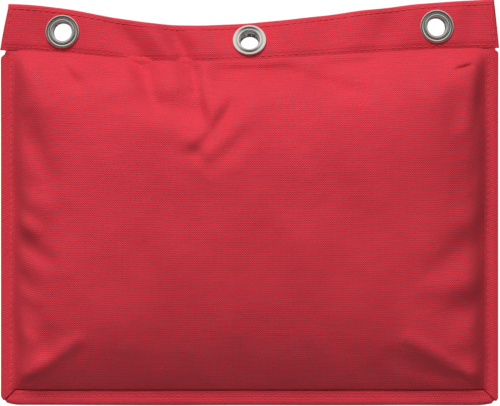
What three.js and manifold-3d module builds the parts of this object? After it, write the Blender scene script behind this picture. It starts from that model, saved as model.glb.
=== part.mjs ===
// Fire blanket in a soft wall pouch: a folded glass-fibre blanket with two pull tabs, in a coated
// polyester pouch that hangs on three eyelets and opens along its lower edge with hook-and-loop tape.
// Millimetres. X runs along the width, -Y is the front, +Z is up. The back of the pouch is the plane
// Y = 0, and the origin is the centre of the middle eyelet's hole, brought back to that plane.
import * as THREE from "three";
import { mergeVertices } from "three/addons/utils/BufferGeometryUtils.js";
import Module from "manifold-3d";

const wasm = await Module();
wasm.setup();

// ---- Driving dimensions ----
const POUCH_WIDTH = 335.4; // over the side flanges
const POCKET_HEIGHT = 231.9; // from the lower edge up to the seam under the middle eyelet
const FLANGE_WIDTH = 9.6; // flat edge outside the pocket, at both sides
const LIP_HEIGHT = 10.2; // closure lips along the lower edge
const BELLY_DEPTH = 41.0; // how far the filled pocket stands in front of its flange
const BELLY_HEIGHT_SHARE = 0.64; // where the belly is deepest, as a share of the pocket's height
const SHEET = 1.0; // one panel with its coating and turned-in edge
const GAP = 0.35; // between pieces that lie on each other

const HEADER_HEIGHT_LEFT = 30.8; // header band, as seen from the front, at its left end
const HEADER_HEIGHT_RIGHT = 32.2;
const HEADER_RISE = 1.6; // how much higher the right end of the header's lower edge hangs
const HEADER_INSET = 3.4; // each end of the band leans in by this at its top edge
const HEADER_LEAN = 10.5; // how far the lower edge comes forward of the top edge, at mid width
const SEAM_SAG = 8.8; // dip of the header's lower edge
const SEAM_SAG_AT = -45.0;
const TOP_SAG = 14.5; // dip of the top edge
const TOP_SAG_AT = -36;
const HEADER_MARGIN = 4.6; // panel edges held inside the header band

const EYELET_SPACING = 126.0;
const EYELET_HOLE_R = 6.3;
const EYELET_FLANGE_R = 11.3;
const EYELET_WALL = 0.6;
const EYELET_HEIGHT_SHARE = 0.476; // eyelet centre, as a share of the header's height
const EYELET_GAP = 0.5;
const WASHER_R = 10.4;
const WASHER_THICK = 0.8;

const TAPE_THICK = 1.2; // hook tape and loop tape
const TAPE_HEIGHT = 8.4;
const TAPE_INSET = 0.9; // tape's edge above the lip's lower edge

const BLANKET_FRONT_ROOM = 2.4; // between the blanket and the front panel, where the tabs lie
const BLANKET_BACK_ROOM = 0.4; // between the blanket and the loop tape
const BLANKET_EDGE = 5.0; // thickness of the folded blanket's rounded rim
const TAB_WIDTH = 25.0;
const TAB_LENGTH = 62.0;
const TAB_THICK = 1.1;
const TAB_SPACING = 170.0; // between the two tabs' centres
const TAB_ROOT = 4.0; // tab's sewn end above the blanket's lower rim

const THREAD_WIDE = 0.7;
const THREAD_THICK = 0.5;
const THREAD_INSET = 6.8; // side and closure stitching, from the pouch's outer edge
const HEADER_STITCH = 1.5; // header stitching, from the band's edges

// ---- Finishes ----
const finish = (color, roughness, metalness = 0) =>
  new THREE.MeshStandardMaterial({ color, roughness, metalness });
const FABRIC = finish(0xc8323f, 0.62);
const THREAD = finish(0xb52c3a, 0.55);
const TAPE = finish(0x9e2430, 0.85);
const NICKEL = finish(0xcfcdc6, 0.22, 1.0);
const GLASS_CLOTH = finish(0xe9e6dc, 0.75);
const WEBBING = finish(0x1d1d1f, 0.8);

// ---- Shape of the draped pouch ----
const HALF_WIDTH = POUCH_WIDTH / 2;
const POCKET_HALF = HALF_WIDTH - FLANGE_WIDTH;

const clamp01 = (t) => Math.min(1, Math.max(0, t));
const lerp = (a, b, t) => a + (b - a) * t;

// A dip centred at `at` that eases out to nothing at both ends of the header.
function dip(x, at) {
  const reach = x < at ? at + HALF_WIDTH : HALF_WIDTH - at;
  return Math.cos((Math.PI / 2) * clamp01(Math.abs(x - at) / reach)) ** 2;
}

const acrossShare = (x) => clamp01((x + HALF_WIDTH) / POUCH_WIDTH);
const seamHeight = (x) =>
  lerp(0, HEADER_RISE, acrossShare(x)) - SEAM_SAG * dip(x, SEAM_SAG_AT);
const headerEnds = (x) => lerp(HEADER_HEIGHT_LEFT, HEADER_HEIGHT_RIGHT, acrossShare(x));
const topHeight = (x) =>
  lerp(0, HEADER_RISE, acrossShare(x)) + headerEnds(x) - TOP_SAG * dip(x, TOP_SAG_AT);

// Heights are measured from the middle eyelet.
const EYELET_LEVEL = lerp(seamHeight(0), topHeight(0), EYELET_HEIGHT_SHARE);
const seamZ = (x) => seamHeight(x) - EYELET_LEVEL;
const topZ = (x) => topHeight(x) - EYELET_LEVEL;
const LOWER_Z = seamZ(0) - POCKET_HEIGHT;
const LIP_Z = LOWER_Z + LIP_HEIGHT;

// Layers of the header band, as distances in Y from its middle surface.
const MARGIN_Y = (GAP + SHEET) / 2;
const HEADER_INNER = GAP * 1.5 + SHEET;
const HEADER_OUTER = HEADER_INNER + SHEET;

// The band's middle surface: flat at its top edge, and coming forward to its lower edge.
const lean = (x) => HEADER_LEAN * (1 - clamp01(Math.abs(x) / HALF_WIDTH) ** 2) ** 2.5;
const headerShare = (x, z) => clamp01((z - seamZ(x)) / (topZ(x) - seamZ(x)));
const headerMid = (x, z) => -HEADER_OUTER - lean(x) * (1 - headerShare(x, z));

// Height in the pocket, from 0 at the closure lips to 1 at the header's lower edge.
const pocketShare = (x, z) => clamp01((z - LIP_Z) / (seamZ(x) - LIP_Z));
const aboveBelly = (v) =>
  clamp01((v - BELLY_HEIGHT_SHARE) / (1 - BELLY_HEIGHT_SHARE)) ** 1.7;

// Joins two rises into one with a rounded hip between them. It is 1 where both are 1.
const HIP_POWER = 4;
const hip = (a, b) => (a * b) / ((a ** HIP_POWER + b ** HIP_POWER) / 2 + 1e-9) ** (1 / HIP_POWER);

// The filled belly: pillow-shaped across, steep above the lips, easing off towards the header.
function belly(x, z) {
  const v = pocketShare(x, z);
  const across = (1 - clamp01(Math.abs(x) / POCKET_HALF) ** 2) ** 0.6;
  const rise = clamp01(v / BELLY_HEIGHT_SHARE);
  const up = v < BELLY_HEIGHT_SHARE ? (1 - (1 - rise) ** 2) ** 0.85 : 1 - aboveBelly(v);
  return BELLY_DEPTH * hip(across, up);
}

// Middle surfaces of the two panels. Inside the header band they follow its middle surface.
const BACK_REST = SHEET / 2;
const FLANGE_REST = SHEET * 1.5 + GAP;
const CLOSURE_STACK = 2 * (TAPE_THICK + GAP) + GAP; // the two tapes and the gaps round them
const LIP_REST = SHEET * 1.5 + CLOSURE_STACK;
const ease = (t) => t * t * (3 - 2 * t);
const frontRest = (x) => lerp(FLANGE_REST, LIP_REST, ease(clamp01((POCKET_HALF - Math.abs(x)) / 10)));
function backMid(x, z) {
  if (z > seamZ(x)) return headerMid(x, z) + MARGIN_Y;
  const toSeam = -headerMid(x, seamZ(x)) - MARGIN_Y - BACK_REST;
  return -BACK_REST - toSeam * aboveBelly(pocketShare(x, z));
}
function frontMid(x, z) {
  if (z > seamZ(x)) return headerMid(x, z) - MARGIN_Y;
  const toSeam = -headerMid(x, seamZ(x)) + MARGIN_Y - frontRest(x);
  return -frontRest(x) - belly(x, z) - toSeam * aboveBelly(pocketShare(x, z));
}

// ---- Building closed solids ----
// A sheet over a grid of [x, z] points, between a front and a back height in Y.
function sheetGeometry(grid, frontY, backY) {
  const rows = grid.length;
  const columns = grid[0].length;
  const layer = rows * columns;
  const positions = [];
  for (const side of [frontY, backY])
    for (const row of grid) for (const [x, z] of row) positions.push(x, side(x, z), z);
  const index = [];
  const quad = (a, b, c, d) => index.push(a, b, c, a, c, d);
  const at = (j, i) => j * columns + i;
  for (let j = 0; j < rows - 1; j++)
    for (let i = 0; i < columns - 1; i++) {
      quad(at(j, i), at(j, i + 1), at(j + 1, i + 1), at(j + 1, i));
      const [a, b, c, d] = [at(j, i), at(j + 1, i), at(j + 1, i + 1), at(j, i + 1)];
      quad(a + layer, b + layer, c + layer, d + layer);
    }
  const wall = (a, b) => quad(b, a, a + layer, b + layer);
  for (let i = 0; i < columns - 1; i++) {
    wall(at(0, i), at(0, i + 1));
    wall(at(rows - 1, i + 1), at(rows - 1, i));
  }
  for (let j = 0; j < rows - 1; j++) {
    wall(at(j, columns - 1), at(j + 1, columns - 1));
    wall(at(j + 1, 0), at(j, 0));
  }
  return geometryOf(positions, index);
}

function geometryOf(positions, index) {
  const geometry = new THREE.BufferGeometry();
  geometry.setAttribute("position", new THREE.Float32BufferAttribute(positions, 3));
  geometry.setIndex(index);
  return geometry;
}

// A closed section of [y, z] points carried along X. The section's points run clockwise seen from +X.
function carriedGeometry(stations, sectionAt) {
  const sections = stations.map(sectionAt);
  const count = sections[0].length;
  const positions = sections.flatMap((points) => points.flat());
  const index = [];
  for (let i = 0; i < stations.length - 1; i++)
    for (let k = 0; k < count; k++) {
      const next = (k + 1) % count;
      const [a, b] = [i * count + k, i * count + next];
      index.push(a, b + count, b, a, a + count, b + count);
    }
  const last = (stations.length - 1) * count;
  const outline = sections[0].map(([, y, z]) => new THREE.Vector2(y, z));
  for (const corners of THREE.ShapeUtils.triangulateShape(outline, [])) {
    const anticlockwise = THREE.ShapeUtils.area(corners.map((k) => outline[k])) > 0;
    const [a, b, c] = anticlockwise ? corners : [...corners].reverse();
    index.push(a, c, b, last + a, last + b, last + c);
  }
  return geometryOf(positions, index);
}

function toSolid(geometry) {
  const bare = geometry.clone();
  bare.deleteAttribute("normal");
  bare.deleteAttribute("uv");
  const merged = mergeVertices(bare, 1e-4);
  return new wasm.Manifold(
    new wasm.Mesh({
      numProp: 3,
      vertProperties: merged.attributes.position.array,
      triVerts: new Uint32Array(merged.index.array),
    }),
  );
}

function fromSolid(solid) {
  const mesh = solid.getMesh();
  return geometryOf(Array.from(mesh.vertProperties), Array.from(mesh.triVerts));
}

const evenly = (from, to, steps) =>
  Array.from({ length: steps + 1 }, (_, k) => lerp(from, to, k / steps));

// Stations that crowd towards both ends, where the pocket's walls are steep.
const crowded = (from, to, steps) =>
  evenly(-Math.PI / 2, Math.PI / 2, steps).map((a) =>
    lerp(from, to, (Math.sin(a) + 1) / 2),
  );

const group = new THREE.Group();
function add(name, geometry, material) {
  const mesh = new THREE.Mesh(geometry, material);
  mesh.name = name;
  group.add(mesh);
  return mesh;
}

const off = (surface, distance) => (x, z) => surface(x, z) + distance;

// ---- Panels ----
const PANEL_COLUMNS = [
  -HALF_WIDTH,
  ...crowded(-POCKET_HALF, POCKET_HALF, 22),
  HALF_WIDTH,
];

// The left and right edges of the front panel end in a mitre beside the closure lip.
function frontPanel() {
  const mitre = (x) => Math.max(0, Math.abs(x) - POCKET_HALF) * (LIP_HEIGHT / FLANGE_WIDTH);
  const lowest = (x) => LIP_Z + GAP - mitre(x) * 0.92;
  const rows = crowded(0, 1, 18).map((share) =>
    PANEL_COLUMNS.map((x) => [x, lerp(lowest(x), seamZ(x), share)]),
  );
  rows.push(
    PANEL_COLUMNS.map((x) => [clampedEnd(x), seamZ(x) + HEADER_MARGIN]),
  );
  return sheetGeometry(rows, off(frontMid, -SHEET / 2), off(frontMid, SHEET / 2));
}

// Panel edges inside the header band stop short of the band's own turned-in ends.
const clampedEnd = (x) => Math.sign(x) * Math.min(Math.abs(x), HALF_WIDTH - 2 * SHEET);

function backPanel() {
  const rows = [LOWER_Z, LIP_Z].map((z) => PANEL_COLUMNS.map((x) => [x, z]));
  for (const share of evenly(0, 1, 9).slice(1))
    rows.push(PANEL_COLUMNS.map((x) => [x, lerp(LIP_Z, seamZ(x), share)]));
  rows.push(PANEL_COLUMNS.map((x) => [clampedEnd(x), seamZ(x) + HEADER_MARGIN]));
  return sheetGeometry(rows, off(backMid, -SHEET / 2), off(backMid, SHEET / 2));
}

// ---- Closure along the lower edge ----
// From the back: back panel, loop tape, hook tape, front lip.
const LOOP_Y = -SHEET - GAP - TAPE_THICK / 2;
const HOOK_Y = LOOP_Y - TAPE_THICK - GAP;
const LIP_Y = -LIP_REST;
const TAPE_HALF = POCKET_HALF - 2;
const flat = (y) => () => y;

function stripGeometry(halfLength, lowZ, highZ, middleY, thick, flare = 0) {
  const rows = [
    [lowZ, halfLength + flare],
    [highZ, halfLength],
  ].map(([z, half]) => evenly(-half, half, 8).map((x) => [x, z]));
  return sheetGeometry(rows, flat(middleY - thick / 2), flat(middleY + thick / 2));
}

const LIP_FLARE = FLANGE_WIDTH * 0.86; // the lip's mitred ends run out towards the corners
const LIP_TOP = LIP_Z - GAP;
add(
  "front_lip",
  stripGeometry(POCKET_HALF - 1, LOWER_Z, LIP_TOP, LIP_Y, SHEET, LIP_FLARE),
  FABRIC,
);
const TAPE_LOW = LOWER_Z + TAPE_INSET;
const tape = (y) => stripGeometry(TAPE_HALF, TAPE_LOW, TAPE_LOW + TAPE_HEIGHT, y, TAPE_THICK);
add("hook_tape", tape(HOOK_Y), TAPE);
add("loop_tape", tape(LOOP_Y), TAPE);

// ---- Header band: one strip folded over the panels' upper edges ----
const headerHalf = (share) => HALF_WIDTH + 0.6 - HEADER_INSET * share;

function headerBand() {
  const FOLD = 1.1;
  const section = (station) => {
    const point = (share, fromTop, offset) => {
      const x = station * headerHalf(share);
      const z = share ? topZ(x) - fromTop : seamZ(x);
      return [x, headerMid(x, z) + offset, z];
    };
    return [
      point(0, 0, -HEADER_OUTER),
      point(1, FOLD, -HEADER_OUTER),
      point(1, 0, -HEADER_OUTER * 0.45),
      point(1, 0, HEADER_OUTER * 0.45),
      point(1, FOLD, HEADER_OUTER),
      point(0, 0, HEADER_OUTER),
      point(0, 0, HEADER_INNER),
      point(1, FOLD + SHEET, HEADER_INNER),
      point(1, FOLD + SHEET, -HEADER_INNER),
      point(0, 0, -HEADER_INNER),
    ];
  };
  return carriedGeometry(evenly(-1, 1, 36), section);
}

// ---- Eyelets ----
// Where an eyelet sits: on the band's middle surface, with its axis along the surface's normal.
function eyeletPlace(x) {
  const z = lerp(seamZ(x), topZ(x), EYELET_HEIGHT_SHARE);
  const step = 4;
  const slopeX = (headerMid(x + step, z) - headerMid(x - step, z)) / (2 * step);
  const slopeZ = (headerMid(x, z + step) - headerMid(x, z - step)) / (2 * step);
  const axis = new THREE.Vector3(slopeX, -1, slopeZ).normalize();
  return { point: new THREE.Vector3(x, headerMid(x, z), z), axis };
}

const EYELETS = {
  left: eyeletPlace(-EYELET_SPACING),
  centre: eyeletPlace(0),
  right: eyeletPlace(EYELET_SPACING),
};

function placeOnAxis(mesh, { point, axis }) {
  mesh.quaternion.setFromUnitVectors(new THREE.Vector3(0, 1, 0), axis);
  mesh.position.copy(point);
  return mesh;
}

const ring = (profile) =>
  new THREE.LatheGeometry(
    [...profile, profile[0]].map(([r, y]) => new THREE.Vector2(r, y)),
    24,
  );

// Half the band's thickness along an eyelet's axis.
const bandHalf = ({ axis }) => HEADER_OUTER * Math.abs(axis.y);

// Barrel and domed flange in one piece, rolled over the washer at the back.
function eyeletProfile(place) {
  const front = bandHalf(place) + EYELET_GAP;
  const back = -front - WASHER_THICK - GAP;
  const barrel = EYELET_HOLE_R + EYELET_WALL;
  return [
    [EYELET_HOLE_R, back - 0.5],
    [EYELET_HOLE_R + 1.0, back - 1.0],
    [EYELET_HOLE_R + 2.2, back - 0.6],
    [EYELET_HOLE_R + 2.3, back],
    [barrel, back],
    [barrel, front],
    [EYELET_FLANGE_R, front],
    [EYELET_FLANGE_R, front + 0.35],
    [EYELET_FLANGE_R - 0.7, front + 1.1],
    [EYELET_FLANGE_R - 1.9, front + 1.35],
    [EYELET_FLANGE_R - 2.9, front + 1.05],
    [EYELET_HOLE_R + 1.5, front + 1.5],
    [EYELET_HOLE_R + 0.6, front + 1.4],
    [EYELET_HOLE_R, front + 0.8],
  ];
}

function washerProfile(place) {
  const top = -bandHalf(place) - EYELET_GAP;
  const bore = EYELET_HOLE_R + EYELET_WALL + GAP;
  return [
    [bore, top - WASHER_THICK],
    [WASHER_R - 0.8, top - WASHER_THICK],
    [WASHER_R, top - 0.3],
    [WASHER_R, top],
    [bore, top],
  ];
}

function punch(solid, place) {
  const radius = EYELET_HOLE_R + EYELET_WALL + GAP;
  const cutter = placeOnAxis(
    new THREE.Mesh(new THREE.CylinderGeometry(radius, radius, 20, 28)),
    place,
  );
  cutter.updateMatrixWorld();
  const hole = toSolid(cutter.geometry.clone().applyMatrix4(cutter.matrixWorld));
  return solid.subtract(hole);
}

let band = toSolid(headerBand());
for (const place of Object.values(EYELETS)) band = punch(band, place);
add("header_band", fromSolid(band), FABRIC);

// The panels' top edges are notched only where a barrel's hole reaches down to them.
function clearOfEyelets(geometry) {
  const whole = toSolid(geometry);
  let cut = whole;
  for (const place of Object.values(EYELETS)) cut = punch(cut, place);
  return whole.volume() - cut.volume() > 1e-6 ? fromSolid(cut) : geometry;
}
add("front_panel", clearOfEyelets(frontPanel()), FABRIC);
add("back_panel", clearOfEyelets(backPanel()), FABRIC);

for (const [side, place] of Object.entries(EYELETS)) {
  placeOnAxis(add(`eyelet_${side}`, ring(eyeletProfile(place)), NICKEL), place);
  placeOnAxis(add(`eyelet_washer_${side}`, ring(washerProfile(place)), NICKEL), place);
}

// ---- Folded blanket ----
const blanketFront = (x, z) => frontMid(x, z) + SHEET / 2 + BLANKET_FRONT_ROOM;
const LOOP_FRONT = LOOP_Y - TAPE_THICK / 2;
const blanketBack = (x, z) =>
  Math.min(backMid(x, z) - SHEET / 2, LOOP_FRONT) - BLANKET_BACK_ROOM;
const room = (x, z) => blanketBack(x, z) - blanketFront(x, z);
const BLANKET_MIDDLE_Z = lerp(LIP_Z, seamZ(0), 0.46);

// Distance from the blanket's middle to where the pocket leaves room for its rim only.
function rimRadius(angle) {
  let [near, far] = [0, POUCH_WIDTH];
  for (let k = 0; k < 30; k++) {
    const r = (near + far) / 2;
    const [x, z] = [r * Math.cos(angle), BLANKET_MIDDLE_Z + r * Math.sin(angle)];
    const inside = z > LIP_Z && z < seamZ(x) && Math.abs(x) < POCKET_HALF;
    if (inside && room(x, z) > BLANKET_EDGE) near = r;
    else far = r;
  }
  return near;
}

// A rounded stack: rings of points from its middle out to its rim, front and back.
function blanketGeometry() {
  const SPOKES = 44;
  const shares = [1, 0.96, 0.88, 0.74, 0.52, 0.26];
  const positions = [];
  for (const side of [blanketFront, blanketBack]) {
    for (const share of shares)
      for (let k = 0; k < SPOKES; k++) {
        const angle = (2 * Math.PI * k) / SPOKES;
        const r = share * rimRadius(angle);
        const [x, z] = [r * Math.cos(angle), BLANKET_MIDDLE_Z + r * Math.sin(angle)];
        positions.push(x, side(x, z), z);
      }
    positions.push(0, side(0, BLANKET_MIDDLE_Z), BLANKET_MIDDLE_Z);
  }
  const layer = shares.length * SPOKES + 1;
  const index = [];
  const face = (front, a, b, c) =>
    front ? index.push(a, b, c) : index.push(a + layer, c + layer, b + layer);
  for (const front of [true, false])
    for (let k = 0; k < SPOKES; k++) {
      const next = (k + 1) % SPOKES;
      for (let j = 0; j < shares.length - 1; j++) {
        const [a, b] = [j * SPOKES + k, j * SPOKES + next];
        face(front, a, b, b + SPOKES);
        face(front, a, b + SPOKES, a + SPOKES);
      }
      const inner = (shares.length - 1) * SPOKES;
      face(front, inner + k, inner + next, layer - 1);
    }
  for (let k = 0; k < SPOKES; k++) {
    const next = (k + 1) % SPOKES;
    index.push(k, k + layer, next + layer, k, next + layer, next);
  }
  return geometryOf(positions, index);
}
add("blanket", blanketGeometry(), GLASS_CLOTH);

// ---- Pull tabs, folded up against the front of the blanket ----
const rimLowZ = (x) => {
  let [low, high] = [LIP_Z, BLANKET_MIDDLE_Z];
  for (let k = 0; k < 30; k++) {
    const z = (low + high) / 2;
    if (room(x, z) > BLANKET_EDGE) high = z;
    else low = z;
  }
  return high;
};
const tabMid = (x, z) => blanketFront(x, z) - BLANKET_FRONT_ROOM / 2;
const TAB_LOW_Z = rimLowZ(TAB_SPACING / 2 + TAB_WIDTH / 2) + TAB_ROOT;
for (const [side, sign] of [
  ["left", -1],
  ["right", 1],
]) {
  const middle = (sign * TAB_SPACING) / 2;
  const rows = evenly(TAB_LOW_Z, TAB_LOW_Z + TAB_LENGTH, 10).map((z) =>
    evenly(middle - TAB_WIDTH / 2, middle + TAB_WIDTH / 2, 4).map((x) => [x, z]),
  );
  const geometry = sheetGeometry(
    rows,
    off(tabMid, -TAB_THICK / 2),
    off(tabMid, TAB_THICK / 2),
  );
  add(`pull_tab_${side}`, geometry, WEBBING);
}

// ---- Lockstitch seams: a needle thread in front and a bobbin thread behind ----
// A thread is a thin ribbon along a path of [x, z] points, lying on a surface.
function threadGeometry(path, surface, side) {
  const half = THREAD_WIDE / 2;
  const upright = Math.abs(path[1][0] - path[0][0]) < Math.abs(path[1][1] - path[0][1]);
  const near = side * GAP * 0.9;
  const far = side * (GAP * 0.9 + THREAD_THICK);
  const grid = upright
    ? path.map(([x, z]) => [
        [x - half, z],
        [x + half, z],
      ])
    : [-half, half].map((d) => path.map(([x, z]) => [x, z + d]));
  return side < 0
    ? sheetGeometry(grid, off(surface, far), off(surface, near))
    : sheetGeometry(grid, off(surface, near), off(surface, far));
}

function lockstitch(name, path, frontSurface, backSurface) {
  add(`${name}_needle_thread`, threadGeometry(path, frontSurface, -1), THREAD);
  if (backSurface)
    add(`${name}_bobbin_thread`, threadGeometry(path, backSurface, 1), THREAD);
}

const bandFront = off(headerMid, -HEADER_OUTER);
const bandBack = off(headerMid, HEADER_OUTER);
const bandInner = headerHalf(1) - HEADER_STITCH;
const bandPath = (height) => evenly(-bandInner, bandInner, 36).map((x) => [x, height(x)]);
lockstitch(
  "header_top",
  bandPath((x) => topZ(x) - HEADER_STITCH),
  bandFront,
  bandBack,
);
lockstitch(
  "header_seam",
  bandPath((x) => seamZ(x) + HEADER_STITCH / 2),
  bandFront,
  bandBack,
);
for (const [side, sign] of [
  ["left", -1],
  ["right", 1],
]) {
  const bandEnd = evenly(0.2, 0.86, 8).map((share) => {
    const x = sign * (headerHalf(share) - HEADER_STITCH);
    return [x, lerp(seamZ(x), topZ(x), share)];
  });
  lockstitch(`header_${side}`, bandEnd, bandFront, bandBack);
  const x = sign * (HALF_WIDTH - THREAD_INSET);
  const sidePath = evenly(LIP_Z + 1, seamZ(x) - 3, 24).map((z) => [x, z]);
  lockstitch(
    `${side}_seam`,
    sidePath,
    off(frontMid, -SHEET / 2),
    off(backMid, SHEET / 2),
  );
}

const closurePath = evenly(-TAPE_HALF, TAPE_HALF, 16).map((x) => [x, LOWER_Z + THREAD_INSET]);
lockstitch("front_lip", closurePath, flat(LIP_Y - SHEET / 2));
add(
  "back_lip_bobbin_thread",
  threadGeometry(closurePath, flat(0), 1),
  THREAD,
);

export default group;
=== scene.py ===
"""A folded fire blanket in its soft wall pouch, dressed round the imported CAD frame.

The pouch is coated polyester: a front and a back panel, a folded header band with three eyelets,
and a closure lip along the lower edge. Inside are the folded glass-cloth blanket and its pull tabs.
Metres, +Z up, -Y is the front, and the origin is at the middle eyelet.
"""

from __future__ import annotations

import logging
import math
from dataclasses import dataclass
from enum import Enum
from typing import Any, Callable, Sequence

import bpy
import numpy as np
from mathutils import Matrix, Vector
from numpy.typing import NDArray

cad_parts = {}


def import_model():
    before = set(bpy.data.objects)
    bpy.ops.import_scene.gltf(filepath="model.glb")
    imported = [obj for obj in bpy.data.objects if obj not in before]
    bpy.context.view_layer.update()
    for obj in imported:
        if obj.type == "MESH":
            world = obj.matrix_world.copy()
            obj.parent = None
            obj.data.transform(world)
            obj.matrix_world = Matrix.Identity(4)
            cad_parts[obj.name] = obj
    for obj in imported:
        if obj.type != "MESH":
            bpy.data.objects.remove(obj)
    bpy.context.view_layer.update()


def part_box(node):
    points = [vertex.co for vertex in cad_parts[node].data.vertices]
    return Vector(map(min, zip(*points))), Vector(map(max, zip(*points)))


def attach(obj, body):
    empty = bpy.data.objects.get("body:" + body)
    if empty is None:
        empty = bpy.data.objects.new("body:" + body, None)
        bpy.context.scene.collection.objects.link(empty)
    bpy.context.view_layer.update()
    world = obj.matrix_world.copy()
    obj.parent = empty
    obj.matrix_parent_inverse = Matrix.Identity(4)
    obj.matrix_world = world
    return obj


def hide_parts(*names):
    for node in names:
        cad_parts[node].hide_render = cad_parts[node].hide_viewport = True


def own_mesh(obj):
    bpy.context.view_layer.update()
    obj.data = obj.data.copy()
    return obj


Array = NDArray[np.float64]
Surface = Callable[[Array, Array], Array]
LOG = logging.getLogger("fire_blanket")
MM = 0.001
STITCH_PITCH = 4.4 * MM  # from one needle hole to the next, in every seam


# ---------------------------------------------------------------- small sums


def clip01(t: Array) -> Array:
    """Holds t between 0 and 1."""
    return np.clip(t, 0.0, 1.0)


def ease(t: Array) -> Array:
    """Turns 0 to 1 into 0 to 1 with a flat start and end, as 3t^2 - 2t^3."""
    t = clip01(t)
    return t * t * (3 - 2 * t)


def mix(a: Array | float, b: Array | float, t: Array | float) -> Array:
    """The value a share t of the way from a to b."""
    return a + (b - a) * t


def bump(distance: Array, width: float) -> Array:
    """A bell curve of height 1 that falls off over width."""
    return np.exp(-((distance / width) ** 2))


def crowded(count: int) -> Array:
    """Stations from -1 to 1 that lie closer together towards both ends, as a sine."""
    return np.sin(np.linspace(-math.pi / 2, math.pi / 2, count))


def soft_noise(x: Array, z: Array, size: float, seed: float) -> Array:
    """A smooth uneven height from about -1 to 1: five crossed sine waves about size long.

    Args:
        x: Places along the width.
        z: Places along the height.
        size: Length of a wave.
        seed: Shifts the waves, so that two uses differ.

    Returns:
        The height at each place.
    """
    total = np.zeros(np.broadcast(x, z).shape)
    for k in range(5):
        turn = seed * 1.7 + k * 2.399
        along = (x * math.cos(turn) + z * math.sin(turn)) / (size * (0.7 + 0.17 * k))
        total = total + np.sin(2 * math.pi * along + seed * 3.1 + k * 1.3)
    return total / 3.2


# ---------------------------------------------------------------- meshes


def grid_faces(rows: int, columns: int, keep: NDArray[np.bool_] | None = None) -> NDArray[np.int64]:
    """Quads of a grid of rows by columns points, running anticlockwise seen from the front.

    Args:
        rows: Points up the grid, first index.
        columns: Points along the grid, second index.
        keep: Which of the (rows - 1, columns - 1) quads to keep.

    Returns:
        One line of four point numbers for each quad.
    """
    at = np.arange(rows * columns).reshape(rows, columns)
    quads = np.stack([at[:-1, :-1], at[:-1, 1:], at[1:, 1:], at[1:, :-1]], axis=-1)
    return quads[keep] if keep is not None else quads.reshape(-1, 4)


def mesh_piece(name: str, points: Array, faces: NDArray[np.int64], uv: Array | None = None) -> Any:
    """Makes a mesh object from arrays.

    Args:
        name: The piece's name.
        points: (n, 3) points in the row frame.
        faces: (m, 3) or (m, 4) point numbers.
        uv: (n, 2) places on the cloth in metres, or None.

    Returns:
        The object, linked to the scene and shaded smooth.
    """
    mesh = bpy.data.meshes.new(name)
    mesh.from_pydata(points.reshape(-1, 3).tolist(), [], faces.tolist())
    if uv is not None:
        layer = mesh.uv_layers.new(name="cloth")
        corners = np.empty(len(mesh.loops), np.int32)
        mesh.loops.foreach_get("vertex_index", corners)
        layer.data.foreach_set("uv", uv.reshape(-1, 2)[corners].astype(np.float32).ravel())
    mesh.polygons.foreach_set("use_smooth", np.ones(len(mesh.polygons), bool))
    mesh.update()
    piece = bpy.data.objects.new(name, mesh)
    bpy.context.scene.collection.objects.link(piece)
    return piece


def cloth_lengths(points: Array) -> Array:
    """Places on the cloth of a grid of points: the lengths walked along its rows and up its columns.

    Args:
        points: (rows, columns, 3) points.

    Returns:
        (rows, columns, 2) places in metres.
    """
    along = np.linalg.norm(np.diff(points, axis=1), axis=2).mean(axis=0)
    up = np.linalg.norm(np.diff(points, axis=0), axis=2)
    u = np.concatenate([[0.0], np.cumsum(along)])
    v = np.vstack([np.zeros(points.shape[1]), np.cumsum(up, axis=0)])
    return np.stack([np.broadcast_to(u, v.shape), v], axis=-1)


def sheet_piece(
    name: str,
    points: Array,
    thick: float,
    keep: NDArray[np.bool_] | None = None,
    flip: bool = False,
) -> Any:
    """A sheet of cloth with a thickness, on a grid of points of its middle surface.

    Args:
        name: The piece's name.
        points: (rows, columns, 3) points of the middle surface.
        thick: Thickness of the cloth.
        keep: Which quads to keep, where the cloth has holes.
        flip: True where the cloth's right side faces the back.

    Returns:
        The object with a live Solidify modifier.
    """
    rows, columns = points.shape[:2]
    faces = grid_faces(rows, columns, keep)
    if flip:
        faces = faces[:, ::-1]
    piece = mesh_piece(name, points, faces, cloth_lengths(points))
    wall = piece.modifiers.new("cloth_thickness", "SOLIDIFY")
    wall.thickness = thick
    wall.offset = 0.0
    wall.use_even_offset = False
    return piece


def lathe_piece(name: str, profile: Array, segments: int, place: Matrix) -> Any:
    """A closed profile of (radius, height) points turned round an axis.

    Args:
        name: The piece's name.
        profile: (n, 2) points that run anticlockwise, seen with the axis on the left.
        segments: Steps round the axis.
        place: Puts the axis, local Z, where it belongs.

    Returns:
        The finished object.
    """
    turn = np.linspace(0, 2 * math.pi, segments, endpoint=False)[:, None]
    radius, height = profile[None, :, 0], profile[None, :, 1]
    rings = np.stack(
        [radius * np.cos(turn), radius * np.sin(turn), np.broadcast_to(height, (segments, len(profile)))],
        axis=-1,
    )
    at = np.arange(segments * len(profile)).reshape(segments, len(profile))
    onward, beside = np.roll(at, -1, axis=0), np.roll(at, -1, axis=1)
    faces = np.stack([at, onward, np.roll(onward, -1, axis=1), beside], axis=-1).reshape(-1, 4)
    turned = np.array(place.to_3x3()) @ rings.reshape(-1, 3).T
    return mesh_piece(name, turned.T + np.array(place.translation), faces)


# ---------------------------------------------------------------- how the pouch hangs


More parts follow.
